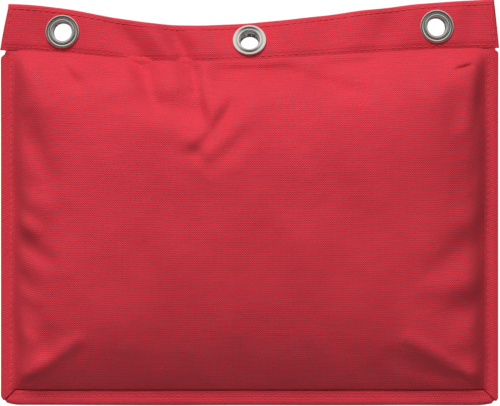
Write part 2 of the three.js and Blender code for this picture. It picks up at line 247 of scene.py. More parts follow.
@dataclass(frozen=True)
class Fold:
    """A crease in the cloth: a ridge where height is above 0, and a valley below it.

    Attributes:
        start: Where it starts, as (x, z) in millimetres.
        end: Where it dies out.
        width: How far its flanks spread.
        height: How far it stands forward.
        bend: How far its middle bows to the right of the way from start to end.
        lean: Above 0 the flank on the left of that way is the wider one, below 0 the other one.
    """

    start: tuple[float, float]
    end: tuple[float, float]
    width: float
    height: float
    bend: float = 0.0
    lean: float = 0.0

    def forward(self, x: Array, z: Array) -> Array:
        """How far the fold stands forward.

        Across the fold it is a bell curve with a slightly sharpened crest and two different flanks.
        Along it the height swells in the middle and fades past both ends.

        Args:
            x: Places along the width.
            z: Places along the height.

        Returns:
            The distances.
        """
        a, b = np.array(self.start) * MM, np.array(self.end) * MM
        run = b - a
        length = float(np.hypot(*run))
        share = ((x - a[0]) * run[0] + (z - a[1]) * run[1]) / length**2
        across = ((x - a[0]) * -run[1] + (z - a[1]) * run[0]) / length
        across = across + self.bend * MM * (1 - clip01(np.abs(2 * share - 1)) ** 2)
        width = self.width * MM * (1 + self.lean * np.tanh(across / (self.width * MM)))
        far = np.hypot(across / width, 0.35) - 0.35
        past = np.maximum(0.0, np.abs(share - 0.5) - 0.5) * length
        crown = 0.65 + 0.35 * np.cos(math.pi * np.clip(share - 0.5, -0.5, 0.5))
        return self.height * MM * crown * np.exp(-1.25 * far**1.6) * bump(past, self.width * MM)


HEADER_FOLDS: tuple[Fold, ...] = (
    # two slanted folds where the band dips, each a valley with a ridge above it
    Fold((-92, 14), (-70, -14), 6, -3.2),
    Fold((-72, 18), (-54, -8), 7, 3.2),
    Fold((-54, 8), (-41, -14), 5, -3.0),
    Fold((-42, 14), (-29, -8), 6, 2.2),
    # softer ones towards both ends
    Fold((-112, 14), (-104, -6), 8, 0.8),
    Fold((-150, 22), (-138, -4), 7, -1.1),
    Fold((30, 14), (34, -10), 10, 0.9),
    Fold((52, 16), (48, -6), 8, -0.8),
    Fold((74, 20), (70, -6), 9, 0.8),
    Fold((98, 22), (88, -4), 8, -1.2),
    Fold((108, 8), (140, 2), 7, 0.8),
    Fold((150, 26), (148, 4), 6, -1.2),
    Fold((104, 26), (140, 27), 3, -0.9),
)

PANEL_FOLDS: tuple[Fold, ...] = (
    # the shelf under the seam, from the middle eyelet to the right
    Fold((-24, -23), (24, -24), 8, -3.4),
    Fold((16, -23), (58, -22), 8, -2.8),
    Fold((46, -30), (74, -34), 7, -1.6),
    Fold((52, -17), (96, -17), 6.5, -2.4),
    # under the left eyelet
    Fold((-131, -6), (-113, -30), 4.0, -2.2, bend=2.0),
    Fold((-117, -27), (-92, -24), 5, -1.3),
    Fold((-124, -10), (-96, -34), 7, 1.8),
    Fold((-150, -24), (-138, -44), 6, 1.0),
    # where both of the band's ridges run on into the pocket
    Fold((-88, -14), (-76, -40), 8, 2.4, lean=-0.3),
    Fold((-72, -14), (-63, -42), 6, -3.4),
    Fold((-54, -14), (-46, -28), 6, 1.6),
    Fold((-38, -12), (-34, -33), 4.5, -3.0),
    # the crumpled place under the band's dip
    Fold((-76, -28), (-44, -30), 8, 1.1, bend=2.0),
    Fold((-84, -42), (-44, -45), 8, -2.2, bend=-3.0),
    Fold((-66, -56), (-42, -60), 7, 1.2),
    # two folds that run down to the left from the middle eyelet
    Fold((-30, -12), (-24, -44), 6, 1.8, bend=2.0),
    Fold((-35, -36), (-31, -56), 5.5, -3.4, lean=-0.4),
    Fold((-18, -40), (-40, -72), 5, 1.8),
    Fold((-58, -46), (-34, -50), 6, -2.0),
    Fold((-10, -42), (-36, -74), 4.6, -1.8, bend=-1.5),
    Fold((6, -40), (-30, -86), 7, 1.5, bend=2.0),
    Fold((-4, -64), (-26, -84), 5, -1.1),
    Fold((-2, -76), (-22, -96), 7, 0.9),
    Fold((-44, -66), (-28, -76), 4.0, 0.9, bend=-3.0),
    Fold((-44, -75), (-28, -82), 4.0, -0.7, bend=-3.0),
    # under the right half of the band
    Fold((34, -14), (72, -27), 7, 2.0, lean=0.2),
    Fold((42, -27), (74, -33), 6, -1.9),
    Fold((90, -14), (124, -36), 9, 1.2),
    Fold((138.5, -18.6), (148, -15.8), 1.4, -1.9),
    Fold((138, -16.0), (149, -13.2), 2.0, 0.9),
    Fold((126, -26), (148, -58), 8, -1.6),
    Fold((151, -26), (144, -60), 5, 1.6),
    # down the left side
    Fold((-148, -52), (-132, -92), 7, -2.6, bend=2.0),
    Fold((-157, -100), (-134, -112), 6, 1.6),
    Fold((-157, -118), (-142, -127), 4.5, 2.4),
    Fold((-156, -133), (-134, -146), 5.5, -2.6),
    Fold((-150, -158), (-136, -206), 7, -1.8),
    Fold((-157, -166), (-142, -174), 4.5, 1.6),
    Fold((-157, -190), (-146, -200), 4.5, 1.2),
    # down the right side
    Fold((157, -84), (140, -96), 6, -1.2),
    Fold((156, -112), (136, -122), 6, 1.2),
    Fold((156, -132), (124, -152), 8, -1.7, bend=2.0),
    Fold((154, -162), (116, -165), 6, 1.1),
    Fold((155, -172), (132, -184), 7, -1.3),
    Fold((156, -194), (136, -204), 6, 0.7),
    # hips that run in from the lower corners
    Fold((-157, -230), (-114, -199), 4.5, 1.9),
    Fold((-160, -238), (-146, -226), 1.6, -1.8),
    Fold((157, -230), (106, -198), 5, 2.2),
    Fold((160, -238), (140, -223), 1.8, -2.2),
    Fold((-148, -214), (-130, -196), 6, -1.4),
    Fold((138, -227), (96, -211), 6, -1.4),
)


@dataclass(frozen=True)
class Drape:
    """The pouch's hanging shape, as heights and depths at places across its width.

    It repeats the frame's own formulas, so a surface lies where the CAD solid is.
    """

    half_width: float
    lower_z: float
    sheet: float = 1.0 * MM
    gap: float = 0.35 * MM
    flange: float = 9.6 * MM
    lip_height: float = 10.2 * MM
    belly_depth: float = 41.0 * MM
    belly_share: float = 0.64
    header_left: float = 30.8 * MM
    header_right: float = 32.2 * MM
    header_rise: float = 1.6 * MM
    header_inset: float = 3.4 * MM
    header_lean: float = 10.5 * MM
    seam_sag: float = 8.8 * MM
    seam_sag_at: float = -45.0 * MM
    top_sag: float = 15.7 * MM
    top_sag_at: float = -36.0 * MM
    eyelet_share: float = 0.476
    tape_thick: float = 1.2 * MM
    fold_depth: float = 1.4

    @property
    def pocket_half(self) -> float:
        """Half the pocket's width, inside its flanges."""
        return self.half_width - self.flange

    @property
    def lip_z(self) -> float:
        """Height of the crease above the closure lip."""
        return self.lower_z + self.lip_height

    @property
    def header_inner(self) -> float:
        """Distance from the band's middle surface to the inside of its legs."""
        return 1.5 * self.gap + self.sheet

    @property
    def header_outer(self) -> float:
        """Distance from the band's middle surface to the outside of its legs."""
        return self.header_inner + self.sheet

    @property
    def level(self) -> float:
        """Height of the middle eyelet above the seam's ends.

        Returns:
            The height in metres.
        """
        zero = np.zeros(1)
        low, high = self._seam(zero)[0], self._top(zero)[0]
        return float(low + (high - low) * self.eyelet_share)

    def _dip(self, x: Array, at: float) -> Array:
        """A dip of depth 1 at one place that eases out to both ends, as a squared cosine."""
        reach = np.where(x < at, at + self.half_width, self.half_width - at)
        return np.cos(math.pi / 2 * clip01(np.abs(x - at) / reach)) ** 2

    def _share(self, x: Array) -> Array:
        """How far along the width, from 0 at the left to 1 at the right."""
        return clip01((x + self.half_width) / (2 * self.half_width))

    def _seam(self, x: Array) -> Array:
        """Height of the seam above its left end."""
        return self.header_rise * self._share(x) - self.seam_sag * self._dip(x, self.seam_sag_at)

    def _top(self, x: Array) -> Array:
        """Height of the band's top edge above the seam's left end.

        Args:
            x: Places along the width.

        Returns:
            The heights.
        """
        ends = mix(self.header_left, self.header_right, self._share(x))
        rise = self.header_rise * self._share(x)
        return rise + ends - self.top_sag * self._dip(x, self.top_sag_at)

    def seam_z(self, x: Array) -> Array:
        """Height of the band's lower edge."""
        return self._seam(x) - self.level

    def top_z(self, x: Array) -> Array:
        """Height of the band's top edge."""
        return self._top(x) - self.level

    def header_half(self, share: Array | float) -> Array:
        """Half the band's width, which narrows towards its top edge."""
        return self.half_width + 0.6 * MM - self.header_inset * share

    def header_mid(self, x: Array, z: Array) -> Array:
        """Depth of the band's middle surface, which comes forward towards its lower edge.

        Args:
            x: Places along the width.
            z: Places along the height.

        Returns:
            The depths.
        """
        lean = self.header_lean * (1 - clip01(np.abs(x) / self.half_width) ** 2) ** 2.5
        share = clip01((z - self.seam_z(x)) / (self.top_z(x) - self.seam_z(x)))
        return -self.header_outer - lean * (1 - share)

    def pocket_share(self, x: Array, z: Array) -> Array:
        """Height in the pocket, from 0 at the lip's crease to 1 at the band."""
        return clip01((z - self.lip_z) / (self.seam_z(x) - self.lip_z))

    def above_belly(self, v: Array) -> Array:
        """How far a height has gone from the deepest place to the band, easing in."""
        return clip01((v - self.belly_share) / (1 - self.belly_share)) ** 1.7

    def belly(self, x: Array, z: Array) -> Array:
        """How far the filled pocket stands forward: two rises joined along rounded hips.

        Args:
            x: Places along the width.
            z: Places along the height.

        Returns:
            The distances.
        """
        v = self.pocket_share(x, z)
        across = (1 - clip01(np.abs(x) / self.pocket_half) ** 2) ** 0.6
        rise = clip01(v / self.belly_share)
        below = (1 - (1 - rise) ** 2) ** 0.85
        up = np.where(v < self.belly_share, below, 1 - self.above_belly(v))
        return self.belly_depth * across * up / ((across**4 + up**4) / 2 + 1e-9) ** 0.25

    @property
    def flange_rest(self) -> float:
        """Depth of the front panel's middle surface on its side flanges."""
        return 1.5 * self.sheet + self.gap

    @property
    def lip_rest(self) -> float:
        """Depth of the closure lip's middle surface, in front of both tapes."""
        return 1.5 * self.sheet + 2 * (self.tape_thick + self.gap) + self.gap

    def front_rest(self, x: Array) -> Array:
        """Depth from which the belly rises, which goes from the flanges' to the lip's."""
        return mix(self.flange_rest, self.lip_rest, ease((self.pocket_half - np.abs(x)) / (10 * MM)))

    def back_mid(self, x: Array, z: Array) -> Array:
        """Depth of the back panel's middle surface: flat, then forward to the band.

        Args:
            x: Places along the width.
            z: Places along the height.

        Returns:
            The depths.
        """
        margin = (self.gap + self.sheet) / 2
        rest = self.sheet / 2
        to_seam = -self.header_mid(x, self.seam_z(x)) - margin - rest
        below = -rest - to_seam * self.above_belly(self.pocket_share(x, z))
        return np.where(z > self.seam_z(x), self.header_mid(x, z) + margin, below)

    def front_mid(self, x: Array, z: Array) -> Array:
        """Depth of the front panel's middle surface, without its folds.

        Args:
            x: Places along the width.
            z: Places along the height.

        Returns:
            The depths.
        """
        margin = (self.gap + self.sheet) / 2
        rest = self.front_rest(x)
        to_seam = -self.header_mid(x, self.seam_z(x)) + margin - rest
        below = -rest - self.belly(x, z) - to_seam * self.above_belly(self.pocket_share(x, z))
        return np.where(z > self.seam_z(x), self.header_mid(x, z) - margin, below)

    def front_soft(self, x: Array, z: Array) -> Array:
        """Depth of the front panel with its creases rounded and let to wander along the flanges.

        It is the mean of seven places across the crease, shifted by a slow wave.

        Args:
            x: Places along the width.
            z: Places along the height.

        Returns:
            The depths.
        """
        near = bump(np.abs(x) - self.pocket_half, 9 * MM)
        shift = 1.1 * MM * near * soft_noise(x * 0.1, z, 70 * MM, 12.0)
        places = np.linspace(-4.2, 4.2, 7) * MM
        return sum(self.front_mid(x + shift + place, z) for place in places) / len(places)

    def rounded(self, x: Array, z: Array) -> tuple[Array, Array]:
        """Rounds the two lower corners: a corner's box is drawn into a quarter of an ellipse.

        Args:
            x: Places along the width.
            z: Places along the height.

        Returns:
            The places along the width and along the height, drawn in.
        """
        wide, tall = np.where(x < 0, 13 * MM, 15 * MM), np.where(x < 0, 7.0 * MM, 5.0 * MM)
        u = clip01((np.abs(x) - self.half_width + wide) / wide)
        w = clip01((self.lower_z + tall - z) / tall)
        across = np.sign(x) * wide * u * (np.sqrt(1 - w**2 / 2) - 1)
        return x + across, z - tall * w * (np.sqrt(1 - u**2 / 2) - 1)

    def band_folds(self, x: Array, z: Array) -> Array:
        """How far the band's folds stand forward, dying out at its two ends and its eyelets.

        Args:
            x: Places along the width.
            z: Places along the height.

        Returns:
            The distances.
        """
        total = self.fold_depth * sum(fold.forward(x, z) for fold in HEADER_FOLDS)
        total = total + 0.3 * MM * soft_noise(x, z, 34 * MM, 2.0)
        total = total + 0.1 * MM * soft_noise(x, z, 13 * MM, 9.0)
        return total * ease((self.half_width - np.abs(x)) / (16 * MM))

    def panel_folds(self, x: Array, z: Array) -> Array:
        """How far the front panel's folds stand forward, dying out on its stitched edges.

        Args:
            x: Places along the width.
            z: Places along the height.

        Returns:
            The distances.
        """
        total = self.fold_depth * sum(fold.forward(x, z) for fold in PANEL_FOLDS)
        total = total + 0.14 * MM * soft_noise(x, z, 15 * MM, 11.0)
        inside = (self.pocket_half - np.abs(x)) / (9 * MM)
        total = total + 0.5 * MM * soft_noise(x, z, 46 * MM, 0.4) * ease(inside / 3)
        near_side = bump(self.pocket_half - np.abs(x) - 12 * MM, 12 * MM)
        total = total + 1.0 * MM * near_side * soft_noise(x * 0.4, z, 38 * MM, 5.0)
        above_lip = ease((z - self.lip_z) / (14 * MM))
        below_band = ease((self.seam_z(x) - z) / (7 * MM))
        carried = self.band_folds(x, self.seam_z(x)) * bump(self.seam_z(x) - z, 26 * MM)
        return total * ease(inside) * above_lip * below_band + carried


def stitch_dent(distance: Array, along: Array, pitch: float) -> Array:
    """How far a seam pulls cloth in: a groove along it that is deepest where each stitch ends."""
    return bump(distance, 1.3 * MM) * (0.22 + 0.12 * np.cos(2 * math.pi * along / pitch)) * MM


# ---------------------------------------------------------------- finishes


class Nodes:
    """A material's node tree, with short ways to add to it."""

    def __init__(self, name: str) -> None:
        """Starts a material with one Principled shader.

        Args:
            name: The material's name.
        """
        self.material = bpy.data.materials.new(name)
        self.material.use_nodes = True
        self.tree = self.material.node_tree
        self.shader = self.tree.nodes["Principled BSDF"]

    def add(self, kind: str, **settings: Any) -> Any:
        """Adds a node and sets its own properties.

        Args:
            kind: The node type's name.
            **settings: Properties of the node.

        Returns:
            The node.
        """
        node = self.tree.nodes.new(kind)
        for name, value in settings.items():
            setattr(node, name, value)
        return node

    def link(self, source: Any, target: Any) -> None:
        """Joins an output socket to an input socket."""
        self.tree.links.new(source, target)

    def set(self, **values: Any) -> None:
        """Sets the shader's own sockets, named with _ for each space."""
        for name, value in values.items():
            self.shader.inputs[name.replace("_", " ")].default_value = value

    def sums(self, operation: str, a: Any, b: Any = 0.0, c: Any = 0.0) -> Any:
        """Adds a Math node on sockets or numbers and returns its output.

        Args:
            operation: Name of the Math operation.
            a: First socket or number.
            b: Second socket or number.
            c: Third one, for an operation that takes three.

        Returns:
            The output socket.
        """
        node = self.add("ShaderNodeMath", operation=operation)
        for socket, value in zip(node.inputs, (a, b, c)):
            if isinstance(value, (int, float)):
                socket.default_value = value
            else:
                self.link(value, socket)
        return node.outputs[0]

    def blend(self, share: Any, low: Sequence[float], high: Sequence[float]) -> Any:
        """Goes from one colour to another as share goes from 0 to 1, and returns the colour.

        Args:
            share: Socket that goes from 0 to 1.
            low: Colour at 0.
            high: Colour at 1.

        Returns:
            The colour's socket.
        """
        ramp = self.add("ShaderNodeValToRGB")
        ramp.color_ramp.elements[0].color = (*low, 1.0)
        ramp.color_ramp.elements[1].color = (*high, 1.0)
        self.link(share, ramp.inputs[0])
        return ramp.outputs[0]

    def noise(self, place: Any, scale: float, detail: float = 3.0) -> Any:
        """Adds a noise texture at places and returns its value.

        Args:
            place: Socket with the places.
            scale: How fine the noise is.
            detail: How many finer layers it has.

        Returns:
            The value's socket.
        """
        node = self.add("ShaderNodeTexNoise")
        node.inputs["Scale"].default_value = scale
        node.inputs["Detail"].default_value = detail
        self.link(place, node.inputs["Vector"])
        return node.outputs[0]

    def relief(self, layers: Sequence[tuple[Any, float]]) -> None:
        """Lays bump layers on each other and gives them to the shader.

        Args:
            layers: Pairs of a height socket, from 0 to 1, and the relief's depth in metres.
        """
        last = None
        for height, depth in layers:
            node = self.add("ShaderNodeBump")
            node.inputs["Strength"].default_value = 1.0
            node.inputs["Distance"].default_value = depth
            self.link(height, node.inputs["Height"])
            if last is not None:
                self.link(last, node.inputs["Normal"])
            last = node.outputs[0]
        self.link(last, self.shader.inputs["Normal"])


class ClothPlace(Enum):
    """Where a woven finish takes its weave's directions from."""

    CLOTH = "cloth"
    OBJECT = "object"


@dataclass(frozen=True)
class WovenFinish:
    """A plain weave of warp and weft yarns.

    Attributes:
        name: The material's name.
        deep: Colour at the dark end: the cloth's darker tone and painted shade between the yarns.
        bright: Colour at the light end: the cloth's lighter tone and a painted highlight on the yarns'
            crowns.
        yarn: Distance from one yarn to the next.
        gloss: Roughness of the cloth.
        sheen: Strength of its soft sheen.
        specular: Strength of its plain reflection.
        place: Where the weave's directions come from.
        relief: Depth of the weave.
        mottle: How much the colour varies over larger patches.
    """

    name: str
    deep: tuple[float, float, float]
    bright: tuple[float, float, float]
    yarn: float
    gloss: float
    sheen: float = 0.0
    specular: float = 0.4
    place: ClothPlace = ClothPlace.CLOTH
    relief: float = 0.05 * MM
    mottle: float = 0.10

    def make(self) -> Any:
        """Builds the material.

        The weave's height is the product of two sine waves at right angles, so crowns of warp and
        of weft take turns as on a chequerboard, and the weft's rows stand a little higher. That
        height is also painted into the colour: painted shade between the yarns and a painted
        highlight on their crowns. Slow noise varies the yarns' colour and gloss.

        Returns:
            The material.
        """
        nodes = Nodes(self.name)
        where = self._where(nodes)
        parts = nodes.add("ShaderNodeSeparateXYZ")
        nodes.link(where, parts.inputs[0])
        across, up = parts.outputs[0], parts.outputs[1]
        if self.place is ClothPlace.OBJECT:
            up = parts.outputs[2]
        wobble = nodes.sums("MULTIPLY", nodes.noise(where, 60.0, 2.0), 1.6)
        rate = math.pi / self.yarn
        warp = nodes.sums("SINE", nodes.sums("MULTIPLY_ADD", across, rate, wobble))
        weft = nodes.sums("SINE", nodes.sums("MULTIPLY_ADD", up, rate, wobble))
        crossed = nodes.sums("MULTIPLY_ADD", nodes.sums("MULTIPLY", warp, weft), 0.38, 0.5)
        crown = nodes.sums("MULTIPLY_ADD", weft, 0.12, crossed)
        patches = nodes.noise(where, 22.0, 4.0)
        slubs = nodes.noise(where, 700.0, 2.0)
        stretched = nodes.add("ShaderNodeMapping")
        stretched.inputs["Scale"].default_value = (0.12, 1.0, 1.0)
        nodes.link(where, stretched.inputs["Vector"])
        streaks = nodes.noise(stretched.outputs[0], 520.0, 2.0)
        # colour from the weave's height is painted shade between the yarns and a painted highlight on their
        # crowns; the noise layers are the cloth's own uneven tone
        shade = nodes.sums("MULTIPLY_ADD", patches, self.mottle * 2, nodes.sums("MULTIPLY", crown, 0.8))
        shade = nodes.sums("MULTIPLY_ADD", slubs, 0.34, shade)
        shade = nodes.sums("MULTIPLY_ADD", streaks, 0.16, shade)
        shade = nodes.sums("SUBTRACT", shade, self.mottle + 0.17)
        nodes.link(nodes.blend(shade, self.deep, self.bright), nodes.shader.inputs["Base Color"])
        gloss = nodes.sums("MULTIPLY_ADD", slubs, 0.16, self.gloss - 0.08)
        nodes.link(gloss, nodes.shader.inputs["Roughness"])
        nodes.relief([(nodes.noise(where, 130.0, 3.0), 0.12 * MM), (crown, self.relief)])
        nodes.set(Sheen_Weight=self.sheen, Sheen_Roughness=0.4)
        nodes.set(Sheen_Tint=(*self.bright, 1.0), Specular_IOR_Level=self.specular)
        return nodes.material

    def _where(self, nodes: Nodes) -> Any:
        """The places that the weave follows, in metres.

        Args:
            nodes: The material that is being built.

        Returns:
            The socket with the places.
        """
        if self.place is ClothPlace.CLOTH:
            return nodes.add("ShaderNodeUVMap", uv_map="cloth").outputs[0]
        return nodes.add("ShaderNodeTexCoord").outputs["Object"]


@dataclass(frozen=True)
class ThreadFinish:
    """Twisted polyester sewing thread."""

    name: str
    deep: tuple[float, float, float]
    bright: tuple[float, float, float]
    gloss: float = 0.45

    def make(self) -> Any:
        """Builds the material: fine slanted bands for the plies, painted as shade between them and
        highlight on them, on slow colour noise.

        Returns:
            The material.
        """
        nodes = Nodes(self.name)
        where = nodes.add("ShaderNodeTexCoord").outputs["Object"]
        plies = nodes.add("ShaderNodeTexWave", wave_type="BANDS", bands_direction="DIAGONAL")
        plies.inputs["Scale"].default_value = 420.0
        plies.inputs["Distortion"].default_value = 0.6
        nodes.link(where, plies.inputs["Vector"])
        twist = plies.outputs["Fac"]
        fibres = nodes.noise(where, 900.0)
        # the ply bands are painted shade and highlight; the fibre noise is the thread's own tone
        shade = nodes.sums("MULTIPLY_ADD", fibres, 0.5, nodes.sums("MULTIPLY", twist, 0.5))
        nodes.link(nodes.blend(shade, self.deep, self.bright), nodes.shader.inputs["Base Color"])
        nodes.relief([(twist, 0.08 * MM)])
        nodes.set(Roughness=self.gloss, Sheen_Weight=0.15)
        return nodes.material


@dataclass(frozen=True)
class NickelFinish:
    """Bright nickel plate on pressed steel, with fine handling marks."""

    name: str = "nickel_plate"
    colour: tuple[float, float, float] = (0.74, 0.71, 0.66)

    def make(self) -> Any:
        """Builds the material: a full metal whose gloss and colour vary with fine noise.

        Returns:
            The material.
        """
        nodes = Nodes(self.name)
        where = nodes.add("ShaderNodeTexCoord").outputs["Object"]
        clouds = nodes.noise(where, 180.0, 5.0)
        marks = nodes.noise(where, 2400.0, 2.0)
        dark = tuple(c * 0.86 for c in self.colour)
        nodes.link(nodes.blend(clouds, dark, self.colour), nodes.shader.inputs["Base Color"])
        gloss = nodes.sums("MULTIPLY_ADD", clouds, 0.06, nodes.sums("MULTIPLY_ADD", marks, 0.04, 0.13))
        nodes.link(gloss, nodes.shader.inputs["Roughness"])
        nodes.set(Metallic=1.0)
        return nodes.material


@dataclass(frozen=True)
class TapeFinish:
    """Hook or loop tape: a dense field of small hooks or fuzzy loops."""

    name: str
    deep: tuple[float, float, float]
    bright: tuple[float, float, float]
    spacing: float
    relief: float

    def make(self) -> Any:
        """Builds the material: round cells the size of a hook's spacing, roughened by noise, with painted
        shade between the cells.

        Returns:
            The material.
        """
        nodes = Nodes(self.name)
        where = nodes.add("ShaderNodeTexCoord").outputs["Object"]
        cells = nodes.add("ShaderNodeTexVoronoi", feature="F1")
        cells.inputs["Scale"].default_value = 1 / self.spacing
        nodes.link(where, cells.inputs["Vector"])
        heads = nodes.sums("SUBTRACT", 1.0, cells.outputs["Distance"])
        fuzz = nodes.noise(where, 1500.0)
        # colour from the cells' height is painted shade between the hooks and a painted highlight on their
        # heads; the fuzz noise is the tape's own tone
        shade = nodes.sums("MULTIPLY_ADD", fuzz, 0.4, nodes.sums("MULTIPLY", heads, 0.6))
        nodes.link(nodes.blend(shade, self.deep, self.bright), nodes.shader.inputs["Base Color"])
        nodes.relief([(heads, self.relief), (nodes.noise(where, 1500.0), self.relief * 0.5)])
        nodes.set(Roughness=0.8, Sheen_Weight=0.3)
        return nodes.material


@dataclass(frozen=True)
class Finishes:
    """Every finish on the object, made once."""

    pouch: Any
    thread: Any
    nickel: Any
    hooks: Any
    loops: Any
    glass: Any
    webbing: Any

    @staticmethod
    def make() -> Finishes:
        """Builds all the materials.

        Returns:
            The set of materials.
        """
        return Finishes(
            pouch=WovenFinish(
                "red_coated_polyester",
                deep=(0.26, 0.005, 0.014),
                # the light end's green and blue are raised a little for a painted whitish sheen, as the key
                # light gives no glossy reflection
                bright=(1.0, 0.074, 0.110),
                yarn=0.78 * MM,
                gloss=0.66,
                specular=0.3,
                relief=0.11 * MM,
            ).make(),
            thread=ThreadFinish("red_thread", (0.62, 0.03, 0.05), (0.95, 0.09, 0.13)).make(),
            nickel=NickelFinish().make(),
            hooks=TapeFinish(
                "hook_tape", (0.12, 0.004, 0.008), (0.42, 0.03, 0.045), 0.9 * MM, 0.4 * MM
            ).make(),
            loops=TapeFinish(
                "loop_tape", (0.2, 0.008, 0.014), (0.5, 0.04, 0.06), 0.6 * MM, 0.25 * MM
            ).make(),
            glass=WovenFinish(
                "glass_cloth",
                deep=(0.52, 0.50, 0.44),
                bright=(0.88, 0.87, 0.82),
                yarn=1.1 * MM,
                gloss=0.62,
                sheen=0.1,
                relief=0.08 * MM,
            ).make(),
            webbing=WovenFinish(
                "black_webbing",
                deep=(0.006, 0.006, 0.007),
                bright=(0.05, 0.05, 0.055),
                yarn=0.9 * MM,
                gloss=0.6,
                sheen=0.3,
                relief=0.12 * MM,
            ).make(),
        )


def dress(piece: Any, material: Any, body: str, slot: str, *nodes: str) -> Any:
    """Gives a piece its finish, its body and the CAD nodes that it stands for.

    Args:
        piece: The object.
        material: Its material.
        body: The CAD body that it rides on.
        slot: Name of a material slot; not used.
        *nodes: CAD nodes that it replaces.

    Returns:
        The same object.
    """
    piece.data.materials.clear()
    piece.data.materials.append(material)
    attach(piece, body)
    if nodes:
        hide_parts(*nodes)
    LOG.info("%s rides on %s and stands for %s", piece.name, body, ", ".join(nodes) or "itself")
    return piece


# ---------------------------------------------------------------- seams


@dataclass
class Seam:
    """A run of lockstitch: separate stitches of one thread along a path on a surface.

    Attributes:
        name: Name of the seam, the first part of its pieces' names.
        path: Gives (x, z) points for shares from 0 to 1 along the seam.
        pitch: Length from one needle hole to the next.
        thread: Thickness of the thread.
    """

    name: str
    path: Callable[[Array], tuple[Array, Array]]
    pitch: float = STITCH_PITCH
    thread: float = 0.62 * MM

    def holes(self, surface: Surface) -> tuple[Array, Array]:
        """Middle and direction of each stitch, evenly spaced along the seam on a surface.

        Args:
            surface: Depth of the cloth's face.

        Returns:
            The middle of each stitch, and the run from its first hole to its second.
        """
        share = np.linspace(0, 1, 600)
        x, z = self.path(share)
        points = np.stack([x, surface(x, z), z], axis=-1)
        walked = np.concatenate([[0.0], np.cumsum(np.linalg.norm(np.diff(points, axis=0), axis=1))])
        count = max(2, int(walked[-1] / self.pitch))
        marks = np.linspace(0, walked[-1], count + 1)
        ends = np.stack([np.interp(marks, walked, points[:, k]) for k in range(3)], axis=-1)
        return (ends[:-1] + ends[1:]) / 2, ends[1:] - ends[:-1]

    def stitches(self, suffix: str, surface: Surface, side: float) -> Any:
        """Builds one side's stitches.

        Each stitch is a round tube whose radius swells as the square root of a sine along it, and
        whose middle stands proud of the cloth while its two ends dive into the needle holes.

        Args:
            suffix: Last part of the piece's name.
            surface: Depth of the cloth's face.
            side: -1 on the front of the cloth, and 1 on the back.

        Returns:
            One mesh with every stitch.
        """
        middle, run = self.holes(surface)
        length = np.linalg.norm(run, axis=1)[:, None]
        ahead = run / length
        outward = np.array([0.0, side, 0.0]) - ahead * (ahead[:, 1:2] * side)
        outward /= np.linalg.norm(outward, axis=1)[:, None]
        beside = np.cross(ahead, outward)
        rings, sides = 6, 6
        t = np.linspace(-1, 1, rings)
        radius = self.thread / 2 * np.sqrt(np.clip(1 - t**2, 0.12, 1))
        lift = self.thread * (0.36 - 0.75 * t**4)
        turn = np.linspace(0, 2 * math.pi, sides, endpoint=False)
        centre = (
            middle[:, None, None]
            + ahead[:, None, None] * (t[None, :, None, None] * length[:, None, None] * 0.46)
            + outward[:, None, None] * lift[None, :, None, None]
        )
        ring = (
            outward[:, None, None] * np.cos(turn)[None, None, :, None]
            + beside[:, None, None] * np.sin(turn)[None, None, :, None]
        )
        points = centre + ring * radius[None, :, None, None]
        at = np.arange(len(middle) * rings * sides).reshape(len(middle), rings, sides)
        nearby = np.roll(at, -1, axis=2)
        walls = np.stack([at[:, :-1], nearby[:, :-1], nearby[:, 1:], at[:, 1:]], axis=-1).reshape(-1, 4)
        caps = np.concatenate([self._cap(at[:, 0], True), self._cap(at[:, -1], False)])
        faces = np.concatenate([walls, caps])
        return mesh_piece(f"{self.name}_{suffix}", points.reshape(-1, 3), faces[:, ::-1])

    @staticmethod
    def _cap(rim: NDArray[np.int64], first: bool) -> NDArray[np.int64]:
        """Closes the six points of a stitch's end with two quads.

        Args:
            rim: Indices of the six points at one end of each stitch.
            first: Whether that is the end where the stitch starts.

        Returns:
            Two quads for each stitch.
        """
        a = rim[:, [0, 5, 4, 3]] if first else rim[:, [0, 1, 2, 3]]
        b = rim[:, [0, 3, 2, 1]] if first else rim[:, [0, 3, 4, 5]]
        return np.concatenate([a, b])


# ---------------------------------------------------------------- header band


